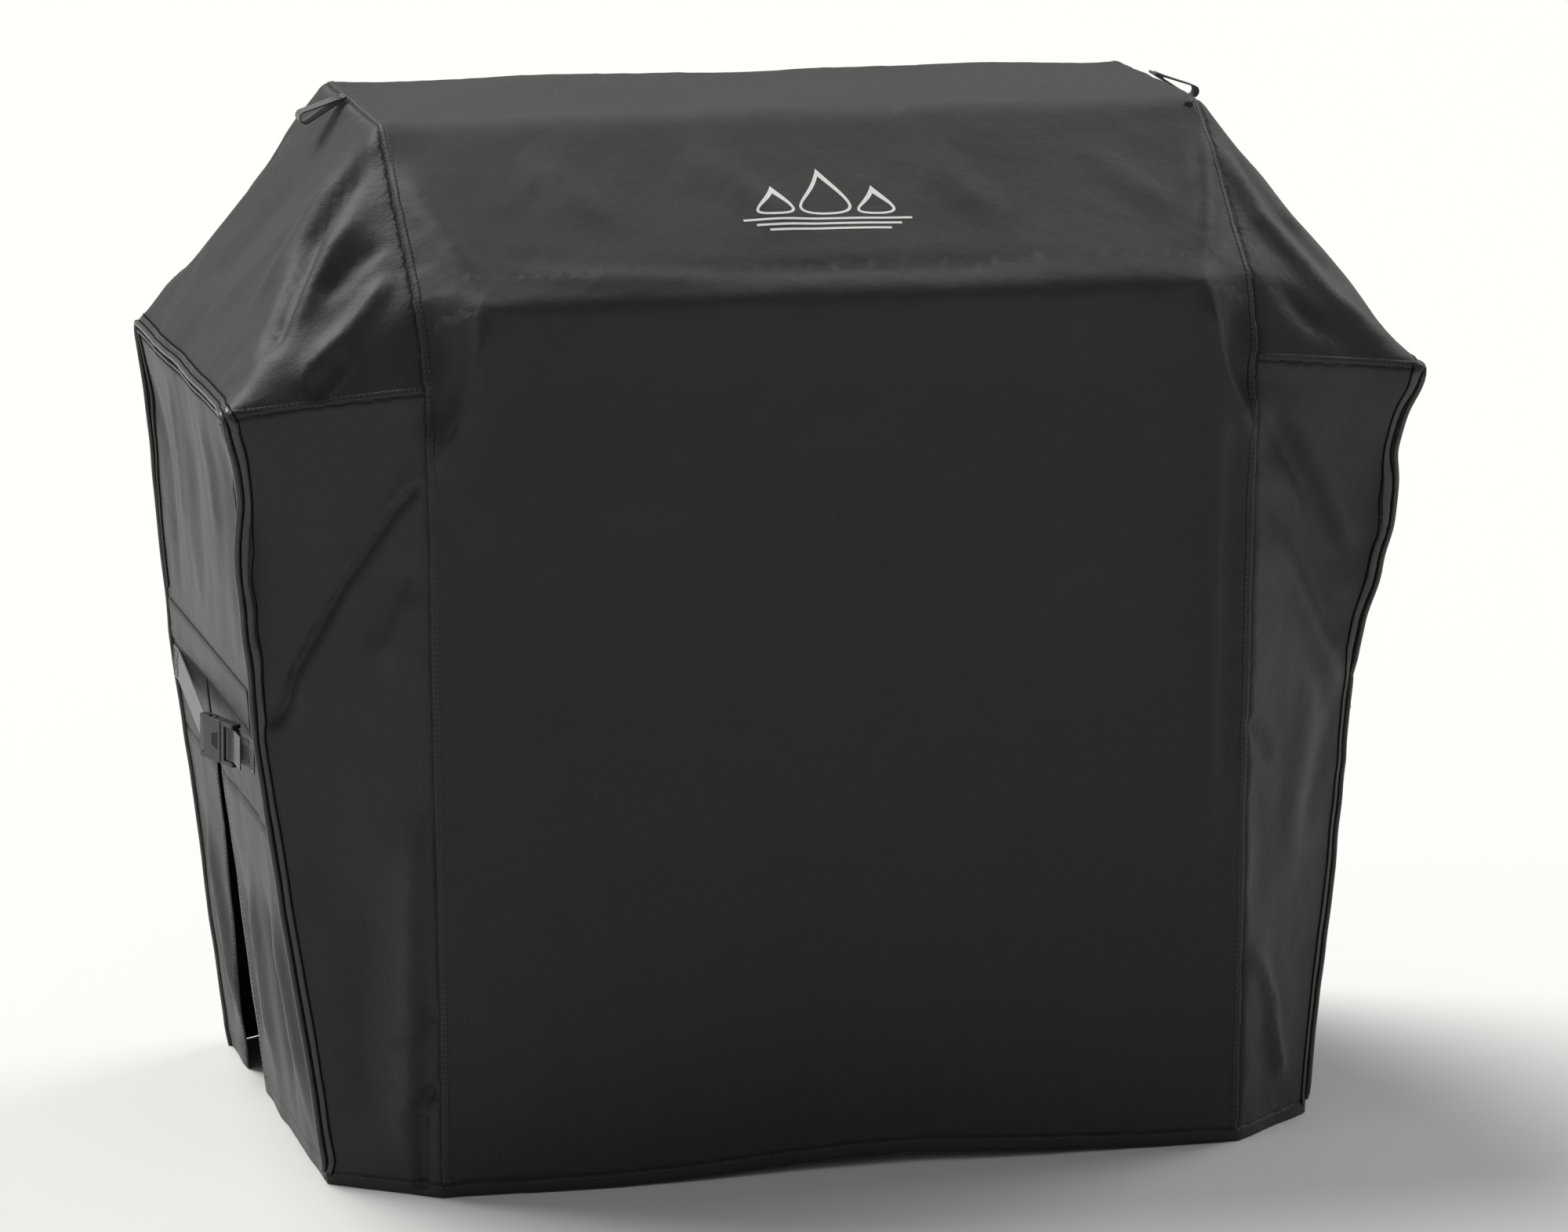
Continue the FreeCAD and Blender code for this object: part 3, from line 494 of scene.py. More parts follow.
    # the ends: upright wrinkles that come down from the corded edge
    for side in (-1, 1):
        for y, top, low, tall, wide, lean in (
            (-0.225, 0.86, 0.66, 0.006, 0.014, 0.020), (-0.175, 0.88, 0.58, -0.004, 0.026, 0.005),
            (-0.070, 0.87, 0.71, 0.003, 0.018, -0.010), (0.030, 0.86, 0.60, -0.003, 0.034, 0.012),
            (0.120, 0.88, 0.67, 0.004, 0.016, 0.004), (0.215, 0.87, 0.59, -0.005, 0.022, -0.008)
        ):
            x = TABLE_X - 0.004
            line = [(side * x, y, top), (side * (x - 0.014), y + lean, (top + low) / 2),
                    (side * (x - 0.027), y + lean / 2, low)]
            folds.add(line, tall, wide, 0.0, 0.3)
        folds.add([(side * 0.690, -0.275, 0.80), (side * 0.680, -0.235, 0.70), (side * 0.674, -0.225, 0.58)],
                  0.006, 0.014, 0.0, 0.3)
        for y, lean, tall in ((-0.20, 0.03, 0.010), (-0.12, 0.02, -0.009), (-0.03, 0.0, 0.010),
                              (0.05, -0.01, -0.006), (0.20, 0.03, 0.010), (0.25, 0.02, -0.008)):
            folds.add([(side * 0.645, y + lean, 0.34), (side * 0.622, y, 0.20),
                       (side * 0.598, y - lean, 0.03)], tall, 0.020, 0.0, 0.35)
    # the cloth hangs off the tables' corners, fuller at the edge and drawn in below it
    for side in (-1, 1):
        folds.swell((side * 0.702, -0.275, 0.890), 0.009, (0.05, 0.05, 0.035))
        folds.swell((side * 0.690, -0.200, 0.780), -0.009, (0.06, 0.16, 0.08))
        folds.swell((side * 0.690, 0.200, 0.780), -0.006, (0.06, 0.16, 0.08))
    # wide, soft unevenness, least on the front slope
    folds.ripple(0.0042, (0.16, 0.16, 0.50), 1)
    folds.ripple(0.0018, (0.055, 0.055, 0.15), 2, lambda p: 0.4 if p.z > 1.0 else 1.0)
    folds.ripple(0.0009, (0.030, 0.030, 0.045), 3, lambda p: 0.3 if p.z > 1.0 else 1.0)
    # flat under the straps and flaps, and where the pull loops are sewn
    folds.hold(((-1, END_FRONT_Y, STRAP_LOW_Z - 0.01), (1, END_REAR_Y, FLAP_TOP_Z + 0.004)), 0.04)
    for side, _ in SIDES:
        folds.settle(LOOP_ROOTS[side], 0.022)
    # the hem rides up a little in the middle and swings at the corners
    for vert, place in zip(folds.verts, folds.places):
        low = 1.0 - smoothstep(0.0, 0.35, place.z)
        if low > 0.0 and abs(place.x) < SEAM_X:
            vert.co.z += 0.013 * low * math.exp(-(((place.x - 0.06) / 0.24) ** 2))
            vert.co.y += 0.006 * low * math.sin(place.x * 9.0 + 1.0) * (1.0 - (place.x / SEAM_X) ** 2)
            vert.co.z = max(vert.co.z, 0.0012)
    bm.normal_update()


def mark_seams(bm, depth, pucker):
    """Draws the seams in, puckers the cloth beside them, and writes each vertex's nearness to a seam."""
    layer = bm.verts.layers.float.new("seam")
    stitched = {v for e in seam_edges(bm) for v in e.verts} - {v for e in piped_edges(bm) for v in e.verts}
    tree = KDTree(len(stitched))
    for i, vert in enumerate(stitched):
        tree.insert(vert.co, i)
    tree.balance()
    shifts = []
    for vert in bm.verts:
        far = tree.find(vert.co)[2]
        vert[layer] = math.exp(-far / 0.014)
        gather = noise.noise(vert.co * 30.0) * math.exp(-((far / 0.024) ** 2)) * smoothstep(0.0, 0.012, far)
        shifts.append(pucker * gather - depth * math.exp(-((far / 0.004) ** 2)))
    for vert, shift in zip(bm.verts, shifts):
        vert.co += vert.normal * shift
        vert.co.z = max(vert.co.z, 0.0012)
    bm.normal_update()


# ---- finishes
def new_finish(name, colour, roughness, sheen=0.0, specular=0.5):
    """A principled material; its own numbers sit on the shader's sockets."""
    made = bpy.data.materials.new(name)
    made.use_nodes = True
    shader = made.node_tree.nodes["Principled BSDF"]
    shader.inputs["Base Color"].default_value = (*colour, 1)
    shader.inputs["Roughness"].default_value = roughness
    shader.inputs["Sheen Weight"].default_value = sheen
    shader.inputs["Sheen Roughness"].default_value = 0.45
    shader.inputs["Specular IOR Level"].default_value = specular
    return made, made.node_tree, shader


def add_node(tree, kind, **sets):
    node = tree.nodes.new("ShaderNode" + kind)
    for key, value in sets.items():
        if hasattr(node, key):
            setattr(node, key, value)
        else:
            node.inputs[key.replace("_", " ")].default_value = value
    return node


def maths(tree, operation, a, b=None):
    node = tree.nodes.new("ShaderNodeMath")
    node.operation = operation
    for socket, value in zip(node.inputs, (a, b)):
        if value is None:
            continue
        if isinstance(value, (int, float)):
            socket.default_value = value
        else:
            tree.links.new(value, socket)
    return node.outputs[0]


def noise_of(tree, vector, scale, detail=3.0, stretch=(1, 1, 1)):
    mapping = add_node(tree, "Mapping")
    mapping.inputs["Scale"].default_value = stretch
    tree.links.new(vector, mapping.inputs["Vector"])
    texture = add_node(tree, "TexNoise", Scale=scale, Detail=detail)
    tree.links.new(mapping.outputs[0], texture.inputs["Vector"])
    return texture.outputs["Fac"]


def weave_height(tree, vector, pitch):
    """Plain weave: yarns pass over and under each other, pitch metres apart."""
    split = add_node(tree, "SeparateXYZ")
    tree.links.new(vector, split.inputs[0])
    waves = [
        maths(tree, "SINE", maths(tree, "MULTIPLY", split.outputs[k], math.pi / pitch)) for k in (0, 1)
    ]
    return maths(tree, "MULTIPLY", waves[0], waves[1])


def bump_on(tree, height, distance, strength=1.0, before=None):
    node = add_node(tree, "Bump", Strength=strength, Distance=distance)
    tree.links.new(height, node.inputs["Height"])
    if before is not None:
        tree.links.new(before, node.inputs["Normal"])
    return node.outputs[0]


def shaded(tree, amount, dark, light):
    ramp = add_node(tree, "ValToRGB")
    ramp.color_ramp.elements[0].color = (*dark, 1)
    ramp.color_ramp.elements[0].position = 0.3
    ramp.color_ramp.elements[1].color = (*light, 1)
    ramp.color_ramp.elements[1].position = 0.7
    tree.links.new(amount, ramp.inputs[0])
    return ramp.outputs[0]


def cloth_finish(name, dark, light, roughness, sheen, pitch=0.0009, knit_hole_shade=0.0):
    """Coated polyester: a fine plain weave with uneven yarns, creased by its folding and a little rubbed."""
    made, tree, shader = new_finish(name, light, roughness, sheen, 0.28)
    cut = add_node(tree, "UVMap", uv_map="cut").outputs[0]
    place = add_node(tree, "TexCoord").outputs["Object"]
    slubs = maths(
        tree, "ADD", noise_of(tree, cut, 700.0, 1.0, (0.12, 1, 1)),
        noise_of(tree, cut, 700.0, 1.0, (1, 0.12, 1))
    )
    blotch = noise_of(tree, place, 3.5, 4.0)
    tone = maths(tree, "ADD", maths(tree, "MULTIPLY", slubs, 0.35), maths(tree, "MULTIPLY", blotch, 0.45))
    yarns = weave_height(tree, cut, pitch)
    # Painted shade: for the vent knit, the weave's low places (its holes) are coloured darker, in place of
    # the shade seen through them.
    if knit_hole_shade:
        tone = maths(tree, "ADD", maths(tree, "MULTIPLY", tone, 1.0 - knit_hole_shade),
                     maths(tree, "MULTIPLY", yarns, knit_hole_shade))
    tree.links.new(shaded(tree, tone, dark, light), shader.inputs["Base Color"])
    height = maths(tree, "ADD", yarns, maths(tree, "MULTIPLY", slubs, 0.0 if knit_hole_shade else 2.0))
    weave = bump_on(tree, height, 0.0005 if knit_hole_shade else 0.00012, 0.7)
    creases = bump_on(tree, noise_of(tree, place, 22.0, 5.0), 0.004, 0.5, weave)
    seam = add_node(tree, "Attribute", attribute_name="seam").outputs["Fac"]
    gathers = maths(tree, "MULTIPLY", noise_of(tree, place, 55.0, 2.0), seam)
    tree.links.new(bump_on(tree, gathers, 0.004, 0.6, creases), shader.inputs["Normal"])
    rough = maths(tree, "ADD", maths(tree, "MULTIPLY", blotch, 0.16), roughness - 0.08)
    tree.links.new(rough, shader.inputs["Roughness"])
    return made


FINISHES = {
    "cover": cloth_finish("cover_cloth", (0.010, 0.010, 0.0102), (0.020, 0.020, 0.0202), 0.50, 0.10),
    "hem": cloth_finish("hem_cloth", (0.0095, 0.0095, 0.0097), (0.0195, 0.0195, 0.0197), 0.51, 0.10),
    # the vent knit's near-black dark colour is painted shade in its holes
    "mesh": cloth_finish("vent_knit", (0.002, 0.002, 0.002), (0.034, 0.034, 0.035), 0.46, 0.10, 0.0026, 0.7),
    "cover_plain": cloth_finish("cover_tape", (0.009, 0.009, 0.0095), (0.019, 0.019, 0.0195), 0.50, 0.10),
}


# ---- from the shell to the pieces
def cut_piece(bm, index, name):
    """One sewn piece as its own object, with the cloth's thickness put inwards."""
    part = bm.copy()
    layer = part.faces.layers.int["piece"]
    bmesh.ops.delete(part, geom=[f for f in part.faces if f[layer] != index], context="FACES")
    mesh = bpy.data.meshes.new(name)
    part.to_mesh(mesh)
    part.free()
    mesh.polygons.foreach_set("use_smooth", [True] * len(mesh.polygons))
    made = bpy.data.objects.new(name, mesh)
    SCENE.collection.objects.link(made)
    wall = made.modifiers.new("thickness", "SOLIDIFY")
    wall.thickness = CLOTH
    wall.offset = -1.0
    if "hem" in name:
        finish = "hem"
    elif name.endswith("_vent"):
        finish = "mesh"
    else:
        finish = "cover"
    mesh.materials.append(FINISHES[finish])
    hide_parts(*PIECES[name])
    return made


def hang_pieces(bm, cuts):
    for index, name in enumerate(PIECES):
        made = cut_piece(bm, index, name)
        if name.endswith("_skirt"):
            side, end, _ = name.split("_")
            blend_skirt(made, side, end)
        else:
            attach(made, "cover")
        width, length, area = cuts[name]
        if "_hem" not in name:
            neighbours_above(name)


def neighbours_above(name):
    """What a piece hangs from; the centre cloth stands on its hems."""
    side = name.split("_")[0]
    if name == "centre_cloth":
        return ["front_hem", "rear_hem"]
    if name.endswith("shoulder_cloth"):
        return ["centre_cloth"]
    if name.endswith("_vent"):
        return [f"{side}_end_cloth"]
    if name.endswith("_skirt"):
        return [name.replace("_skirt", "_vent")]
    return [f"{side}_shoulder_cloth"]


# ---- rows along the seams and edges
def resampled(points, step):
    """Points at even steps along a row, after the row is smoothed."""
    for _ in range(4):
        inner = [(a + 2 * b + c) / 4 for a, b, c in zip(points, points[1:], points[2:])]
        points = [points[0]] + inner + [points[-1]]
    total = sum((b - a).length for a, b in zip(points, points[1:]))
    count = max(2, round(total / step))
    placed = [points[0]]
    run = 0.0
    for a, b in zip(points, points[1:]):
        span = (b - a).length
        while len(placed) < count and run + span >= total * len(placed) / count:
            placed.append(a.lerp(b, (total * len(placed) / count - run) / span))
        run += span
    return placed + [points[-1]]


class Row:
    """Stations along a seam: where it is, which way is out, and which way the cloth lies beside it."""

    def __init__(self, points, cloth, toward, step):
        self.cloth = cloth
        self.places = resampled(points, step)
        self.ways = []
        last = len(self.places) - 1
        outs = []
        for place in self.places:
            near = cloth.find_nearest_range(place, 0.012)
            outs.append(sum((hit[1] for hit in near), Vector()).normalized()
                        if near else cloth.find_nearest(place)[1])
        for _ in range(6):
            outs = [(outs[max(i - 1, 0)] + 2 * outs[i] + outs[min(i + 1, last)]).normalized()
                    for i in range(last + 1)]
        for i, place in enumerate(self.places):
            along = (self.places[min(i + 1, last)] - self.places[max(i - 1, 0)]).normalized()
            out = outs[i]
            beside = out.cross(along).normalized()
            if beside.dot(toward(place)) < 0:
                beside = -beside
            self.ways.append((along, out, beside))

    def at(self, i, offset, lift):
        """A point on the cloth beside station i."""
        _, out, beside = self.ways[i]
        start = self.places[i] + beside * offset + out * 0.02
        hit = self.cloth.ray_cast(start, -out, 0.04)[0] or self.cloth.find_nearest(start - out * 0.02)[0]
        return hit + out * lift


def new_piece(name, bm, finish, smooth=True):
    mesh = bpy.data.meshes.new(name)
    bm.to_mesh(mesh)
    bm.free()
    mesh.polygons.foreach_set("use_smooth", [smooth] * len(mesh.polygons))
    mesh.materials.append(finish)
    made = bpy.data.objects.new(name, mesh)
    SCENE.collection.objects.link(made)
    return made


def tape(name, row, inner, outer, lift, thickness, finish):
    """A narrow band sewn down along a row, from inner to outer beside it."""
    bm = bmesh.new()
    across = 4
    bmesh.ops.create_grid(bm, x_segments=len(row.places) - 1, y_segments=across, size=1)
    verts = sorted(bm.verts, key=lambda v: (round(v.co.x, 6), v.co.y))
    for n, vert in enumerate(verts):
        i, j = divmod(n, across + 1)
        share = j / across
        crown = math.sin(math.pi * share) ** 0.5
        vert.co = row.at(i, inner + (outer - inner) * share, lift * crown + 0.0001)
    bmesh.ops.recalc_face_normals(bm, faces=bm.faces[:])
    middle = row.places[len(row.places) // 2]
    face = min(bm.faces, key=lambda f: (f.calc_center_median() - middle).length)
    if face.normal.dot(row.ways[len(row.places) // 2][1]) < 0:
        bmesh.ops.reverse_faces(bm, faces=bm.faces[:])
    made = new_piece(name, bm, finish)
    wall = made.modifiers.new("thickness", "SOLIDIFY")
    wall.thickness = thickness
    wall.offset = -1.0
    return made


def stitch_mesh():
    bm = bmesh.new()
    bmesh.ops.create_uvsphere(bm, u_segments=6, v_segments=4, radius=1.0)
    mesh = bpy.data.meshes.new("stitch")
    bm.to_mesh(mesh)
    bm.free()
    return mesh


STITCH = stitch_mesh()


def sew(bm, frames, length=0.0036, thread=0.00055):
    """Adds one stitch at each (place, along, out)."""
    for place, along, out in frames:
        side = out.cross(along)
        turn = Matrix((side * thread, out * thread * 0.8, along * length / 2)).transposed().to_4x4()
        STITCH.transform(Matrix.Translation(place) @ turn)
        bm.from_mesh(STITCH)
        STITCH.transform((Matrix.Translation(place) @ turn).inverted())


def row_stitches(row, offset, lift=0.0002):
    last = len(row.places) - 1
    for i in range(1, last):
        along, out, _ = row.ways[i]
        yield row.at(i, offset, lift), along, out


def box_stitches(centre, along, out, length, width):
    """A sewn rectangle with a cross in it."""
    up = out.cross(along)
    corners = [(-1, -1), (1, -1), (1, 1), (-1, 1), (-1, -1), (1, 1), (1, -1), (-1, 1)]
    places = [centre + along * (a * length / 2) + up * (b * width / 2) for a, b in corners]
    for a, b in zip(places, places[1:]):
        count = max(2, round((b - a).length / 0.0038))
        for k in range(count):
            yield a.lerp(b, (k + 0.5) / count), (b - a).normalized(), out


def cord(name, points, radius, finish):
    """A round cord along points, as a mesh."""
    curve = bpy.data.curves.new(name, "CURVE")
    curve.dimensions = "3D"
    curve.bevel_depth = radius
    curve.bevel_resolution = 3
    curve.use_fill_caps = True
    spline = curve.splines.new("POLY")
    spline.points.add(len(points) - 1)
    for spot, place in zip(spline.points, points):
        spot.co = (*place, 1)
    scratch = bpy.data.objects.new(name + "_line", curve)
    SCENE.collection.objects.link(scratch)
    settled = scratch.evaluated_get(bpy.context.evaluated_depsgraph_get())
    mesh = bpy.data.meshes.new_from_object(settled)
    bpy.data.objects.remove(scratch)
    bm = bmesh.new()
    bm.from_mesh(mesh)
    bpy.data.meshes.remove(mesh)
    bmesh.ops.recalc_face_normals(bm, faces=bm.faces[:])
    return new_piece(name, bm, finish)


def webbing_finish():
    """Woven strap: ribs along its length crossed by slanting yarns, with a soft shine."""
    made, tree, shader = new_finish("webbing", (0.020, 0.020, 0.021), 0.45, 0.4, 0.4)
    cut = add_node(tree, "UVMap", uv_map="cut").outputs[0]
    split = add_node(tree, "SeparateXYZ")
    tree.links.new(cut, split.inputs[0])
    ribs = maths(tree, "ABSOLUTE",
                 maths(tree, "SINE", maths(tree, "MULTIPLY", split.outputs[0], math.pi / 0.0021)))
    zigzag = maths(tree, "PINGPONG", split.outputs[0], 0.0042)
    slant = maths(tree, "ADD", split.outputs[1], zigzag)
    yarns = maths(tree, "ABSOLUTE", maths(tree, "SINE", maths(tree, "MULTIPLY", slant, math.pi / 0.0015)))
    height = maths(tree, "ADD", ribs, maths(tree, "MULTIPLY", yarns, 0.7))
    # Painted shade: the colour follows the weave's height, darker in the low places between ribs and yarns,
    # with random tone from noise on top.
    tone = maths(tree, "ADD", maths(tree, "MULTIPLY", height, 0.4),
                 maths(tree, "MULTIPLY", noise_of(tree, cut, 900.0), 0.3))
    tree.links.new(shaded(tree, tone, (0.007, 0.007, 0.0075), (0.030, 0.030, 0.031)),
                   shader.inputs["Base Color"])
    tree.links.new(bump_on(tree, height, 0.00035, 0.9), shader.inputs["Normal"])
    return made


def plastic_finish():
    """Moulded plastic: finely grained, rubbed a little smoother in places."""
    made, tree, shader = new_finish("buckle_plastic", (0.018, 0.018, 0.019), 0.36, 0.0, 0.5)
    place = add_node(tree, "TexCoord").outputs["Object"]
    rubbed = noise_of(tree, place, 60.0, 4.0)
    grain = noise_of(tree, place, 2600.0, 2.0)
    tree.links.new(shaded(tree, rubbed, (0.013, 0.013, 0.014), (0.026, 0.026, 0.027)),
                   shader.inputs["Base Color"])
    tree.links.new(maths(tree, "ADD", maths(tree, "MULTIPLY", rubbed, 0.22), 0.26),
                   shader.inputs["Roughness"])
    tree.links.new(bump_on(tree, grain, 0.00008, 0.5), shader.inputs["Normal"])
    return made


def piping_finish():
    """Bias tape round a cord: a slanting weave, worn smooth and shiny on its crown."""
    made, tree, shader = new_finish("piping_tape", (0.016, 0.016, 0.0165), 0.34, 0.15, 0.55)
    place = add_node(tree, "TexCoord").outputs["Object"]
    worn = noise_of(tree, place, 45.0, 3.0)
    yarns = noise_of(tree, place, 1500.0, 1.0)
    tree.links.new(shaded(tree, worn, (0.008, 0.008, 0.0085), (0.022, 0.022, 0.0225)),
                   shader.inputs["Base Color"])
    tree.links.new(maths(tree, "ADD", maths(tree, "MULTIPLY", worn, 0.25), 0.22), shader.inputs["Roughness"])
    puckers = bump_on(tree, noise_of(tree, place, 180.0, 1.0), 0.0012, 0.5)
    tree.links.new(bump_on(tree, yarns, 0.0001, 0.6, puckers), shader.inputs["Normal"])
    return made


def thread_finish():
    """Twisted polyester thread."""
    made, tree, shader = new_finish("thread", (0.045, 0.045, 0.046), 0.5, 0.3, 0.4)
    place = add_node(tree, "TexCoord").outputs["Object"]
    twist = noise_of(tree, place, 2200.0, 1.0)
    tree.links.new(shaded(tree, twist, (0.020, 0.020, 0.021), (0.065, 0.065, 0.066)),
                   shader.inputs["Base Color"])
    tree.links.new(bump_on(tree, twist, 0.0002, 0.7), shader.inputs["Normal"])
    return made


def print_finish():
    """Screen printed white ink, a little thin where the weave shows through."""
    made, tree, shader = new_finish("badge_ink", (0.78, 0.78, 0.77), 0.6, 0.0, 0.4)
    place = add_node(tree, "TexCoord").outputs["Object"]
    speckle = noise_of(tree, place, 1400.0, 2.0)
    tree.links.new(shaded(tree, speckle, (0.62, 0.62, 0.61), (0.86, 0.86, 0.85)), shader.inputs["Base Color"])
    tree.links.new(bump_on(tree, speckle, 0.00015, 0.6), shader.inputs["Normal"])
    return made


FINISHES["webbing"] = webbing_finish()
FINISHES["plastic"] = plastic_finish()
FINISHES["piping"] = piping_finish()
FINISHES["thread"] = thread_finish()
# Painted shade: near-black cords stand in for the shadow in the grooves beside the piping.
FINISHES["channel"] = new_finish("stitched_channel", (0.0025, 0.0025, 0.0026), 0.85, 0.0, 0.1)[0]
FINISHES["print"] = print_finish()


# ---- sewn details
def blend_skirt(made, side, end):
    """The skirt's free corner turns about its fold, worked out here but not used; only the skirt's placement
    is baked in.
    """
    fold = joint(f"{side}_{end}_corner_fold")
    hinge = Vector(fold["pos_m"])
    out = Vector((1 if side == "right" else -1, 0, 0))
    away = out.cross(Vector(fold["axis"])).normalized()
    low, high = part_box(f"{side}_{end}_slit_hem")
    away *= math.copysign(1.0, away.dot((low + high) / 2 - hinge))
    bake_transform(made)


def seam_points(bm, test):
    """The places along the seam between pieces that pass a test, as one row."""
    layer = bm.faces.layers.int["piece"]
    edges = [e for e in seam_edges(bm) if test(pieces_at(e, layer), e.verts[0].co)]
    return [v.co.copy() for v in chain_of(edges)]


def sew_details(bm, cloth):
    step = 0.0062
    up = lambda place: Vector((0, 0, 1))
    inward = lambda place: Vector((-place.x, 0, 0))
    thread = bmesh.new()
    for side, sign in SIDES:
        points = seam_points(
            bm, lambda names, at: ("centre_cloth" in names and at.x * sign > 0
                                   and not any("hem" in n for n in names)))
        row = Row(points, cloth, inward, step)
        made = tape(f"{side}_felled_seam", row, 0.0006, 0.0096, 0.0007, 0.0006, FINISHES["cover_plain"])
        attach(made, "cover")
        sew(thread, row_stitches(row, 0.0024, 0.0009))
        sew(thread, row_stitches(row, 0.0080, 0.0009))
        for end in ENDS:
            points = seam_points(
                bm, lambda names, at: names == {f"{side}_shoulder_cloth", f"{side}_{end}_side_cloth"})
            row = Row(points, cloth, up, step)
            made = tape(f"{side}_{end}_shoulder_seam", row, 0.0008, 0.0086, 0.0003, 0.0006,
                        FINISHES["cover_plain"])
            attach(made, "cover")
            sew(thread, row_stitches(row, 0.0066, 0.0008))
        points = seam_points(
            bm, lambda names, at: (f"{side}_end_cloth" in names
                                   and any(n.startswith(side) and n.endswith("_vent") for n in names)))
        sew(thread, row_stitches(Row(points, cloth, up, step), 0.006))
        for end in ENDS:
            points = seam_points(bm, lambda names, at: names == {f"{side}_{end}_vent", f"{side}_{end}_skirt"})
            row = Row(points, cloth, lambda place: Vector((0, 0, -1)), step)
            sew(thread, row_stitches(row, 0.005))
            sew(thread, row_stitches(row, 0.010))
    for end in ENDS:
        points = seam_points(bm, lambda names,
                             at: f"{end}_hem" in names and not any(is_end(n) for n in names))
        row = Row(points, cloth, lambda place: Vector((0, 0, -1)), step)
        sew(thread, row_stitches(row, 0.003, 0.0003))
    made = new_piece("seam_stitches", thread, FINISHES["thread"])
    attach(made, "cover")


def pipe_ends(bm, cloth):
    """A cord along each end's outline, with a second cord of the zip tape beside it."""
    thread = bmesh.new()
    for side, sign in SIDES:
        edges = [e for e in piped_edges(bm) if e.verts[0].co.x * sign > 0]
        points = [v.co.copy() for v in chain_of(edges)]
        middle = Vector((sign * TABLE_X, (END_FRONT_Y + END_REAR_Y) / 2, 0.5))
        row = Row(points, cloth, lambda place: middle - place, 0.0062)
        line = [cloth.find_nearest(place)[0] + way[1] * 0.0012 for place, way in zip(row.places, row.ways)]
        made = cord(f"{side}_piping", line, 0.0033, FINISHES["piping"])
        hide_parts(f"{side}_end_piping")
        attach(made, "cover")
        upper = [i for i, place in enumerate(row.places) if place.z > FLAP_TOP_Z + 0.008]
        made = tape(f"{side}_piping_flange", row, -0.0030, -0.0105, 0.0010, 0.0010, FINISHES["piping"])
        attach(made, "cover")
        second = [row.at(i, 0.0095, 0.0006) for i in upper]
        made = cord(f"{side}_inner_piping", second, 0.0019, FINISHES["piping"])
        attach(made, "cover")
        # Painted shade: thin near-black cords along the piping, in place of the shadow in the grooves beside
        # it.
        for spot, (offset, size, some) in enumerate((
            (-0.0112, 0.0009, range(len(row.places))), (-0.0034, 0.0009, range(len(row.places))),
            (0.0058, 0.0016, upper), (0.0128, 0.0013, upper)
        )):
            line = [row.at(i, offset, 0.0004) for i in some]
            made = cord(f"{side}_piping_channel_{spot + 1}", line, size, FINISHES["channel"])
            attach(made, "cover")
        sew(thread, ((row.at(i, 0.0165, 0.0002), row.ways[i][0], row.ways[i][1]) for i in upper[1:-1]))
    made = new_piece("piping_stitches", thread, FINISHES["thread"])
    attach(made, "cover")


def edge_rows(bm, cloth):
    """Stitching along the skirts' free edges."""
    layer = bm.faces.layers.int["piece"]
    for side, _ in SIDES:
        for end in ENDS:
            index = PIECE_NAMES.index(f"{side}_{end}_skirt")
            edges = [e for e in bm.edges if e.is_boundary and e.link_faces[0][layer] == index]
            floor_edges = [e for e in edges if max(v.co.z for v in e.verts) < 0.02]
            slit_edges = [e for e in edges if e not in floor_edges]
            gore_low, gore_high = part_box(f"{side}_{end}_end_gore")
            centre = (Vector(gore_low) + Vector(gore_high)) / 2
            thread = bmesh.new()
            for some, offset in ((floor_edges, 0.022), (slit_edges, 0.009)):
                if some:
                    row = Row([v.co.copy() for v in chain_of(some)], cloth, lambda place: centre - place,
                              0.0062)
                    sew(thread, row_stitches(row, offset))
            made = new_piece(f"{side}_{end}_skirt_stitches", thread, FINISHES["thread"])
            blend_skirt(made, side, end)


def badge(cloth):
    """The printed mark, laid on the front slope's folds."""
    bm = bmesh.new()
    bm.from_mesh(NODES["front_badge"].data)
    bmesh.ops.remove_doubles(bm, verts=bm.verts[:], dist=1e-6)
    for _ in range(5):
        long_edges = [e for e in bm.edges if e.calc_length() > 0.006]
        bmesh.ops.subdivide_edges(bm, edges=long_edges, cuts=1)
        bmesh.ops.triangulate(bm, faces=[f for f in bm.faces if len(f.verts) > 3])
    bm.normal_update()
    out = max(bm.faces, key=lambda f: f.calc_area() * (f.normal.z > 0)).normal.copy()
    base = min(v.co.dot(out) for v in bm.verts)
    for vert in bm.verts:
        height = vert.co.dot(out) - base
        hit = cloth.ray_cast(vert.co + out * 0.06, -out, 0.12)[0]
        vert.co = hit + out * (0.00005 + 0.6 * height)
    made = new_piece("flame_badge", bm, FINISHES["print"], False)
    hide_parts("front_badge")
    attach(made, "cover")
    return made


def merged_copy(node):
    bm = bmesh.new()
    bm.from_mesh(NODES[node].data)
    bmesh.ops.remove_doubles(bm, verts=bm.verts[:], dist=1e-5)
    bmesh.ops.dissolve_limit(bm, angle_limit=math.radians(2), verts=bm.verts[:], edges=bm.edges[:])
    return bm


def soften_edges(bm, radius, angle=30):
    edges = [e for e in bm.edges if len(e.link_faces) == 2 and e.calc_face_angle(0) > math.radians(angle)]
    bmesh.ops.bevel(
        bm, geom=edges, affect="EDGES", offset=radius, segments=2, profile=0.5, material=-1,
        clamp_overlap=True
    )


def even_shading(made):
    made.data.set_sharp_from_angle(angle=math.radians(42))
    made.modifiers.new("even", "WEIGHTED_NORMAL").keep_sharp = True


def buckle_axes(side, sign):
    along = Vector(joint(f"{side}_buckle_release")["axis"])
    out = Vector((sign * along.y, -sign * along.x, 0))
    return along, out.normalized()


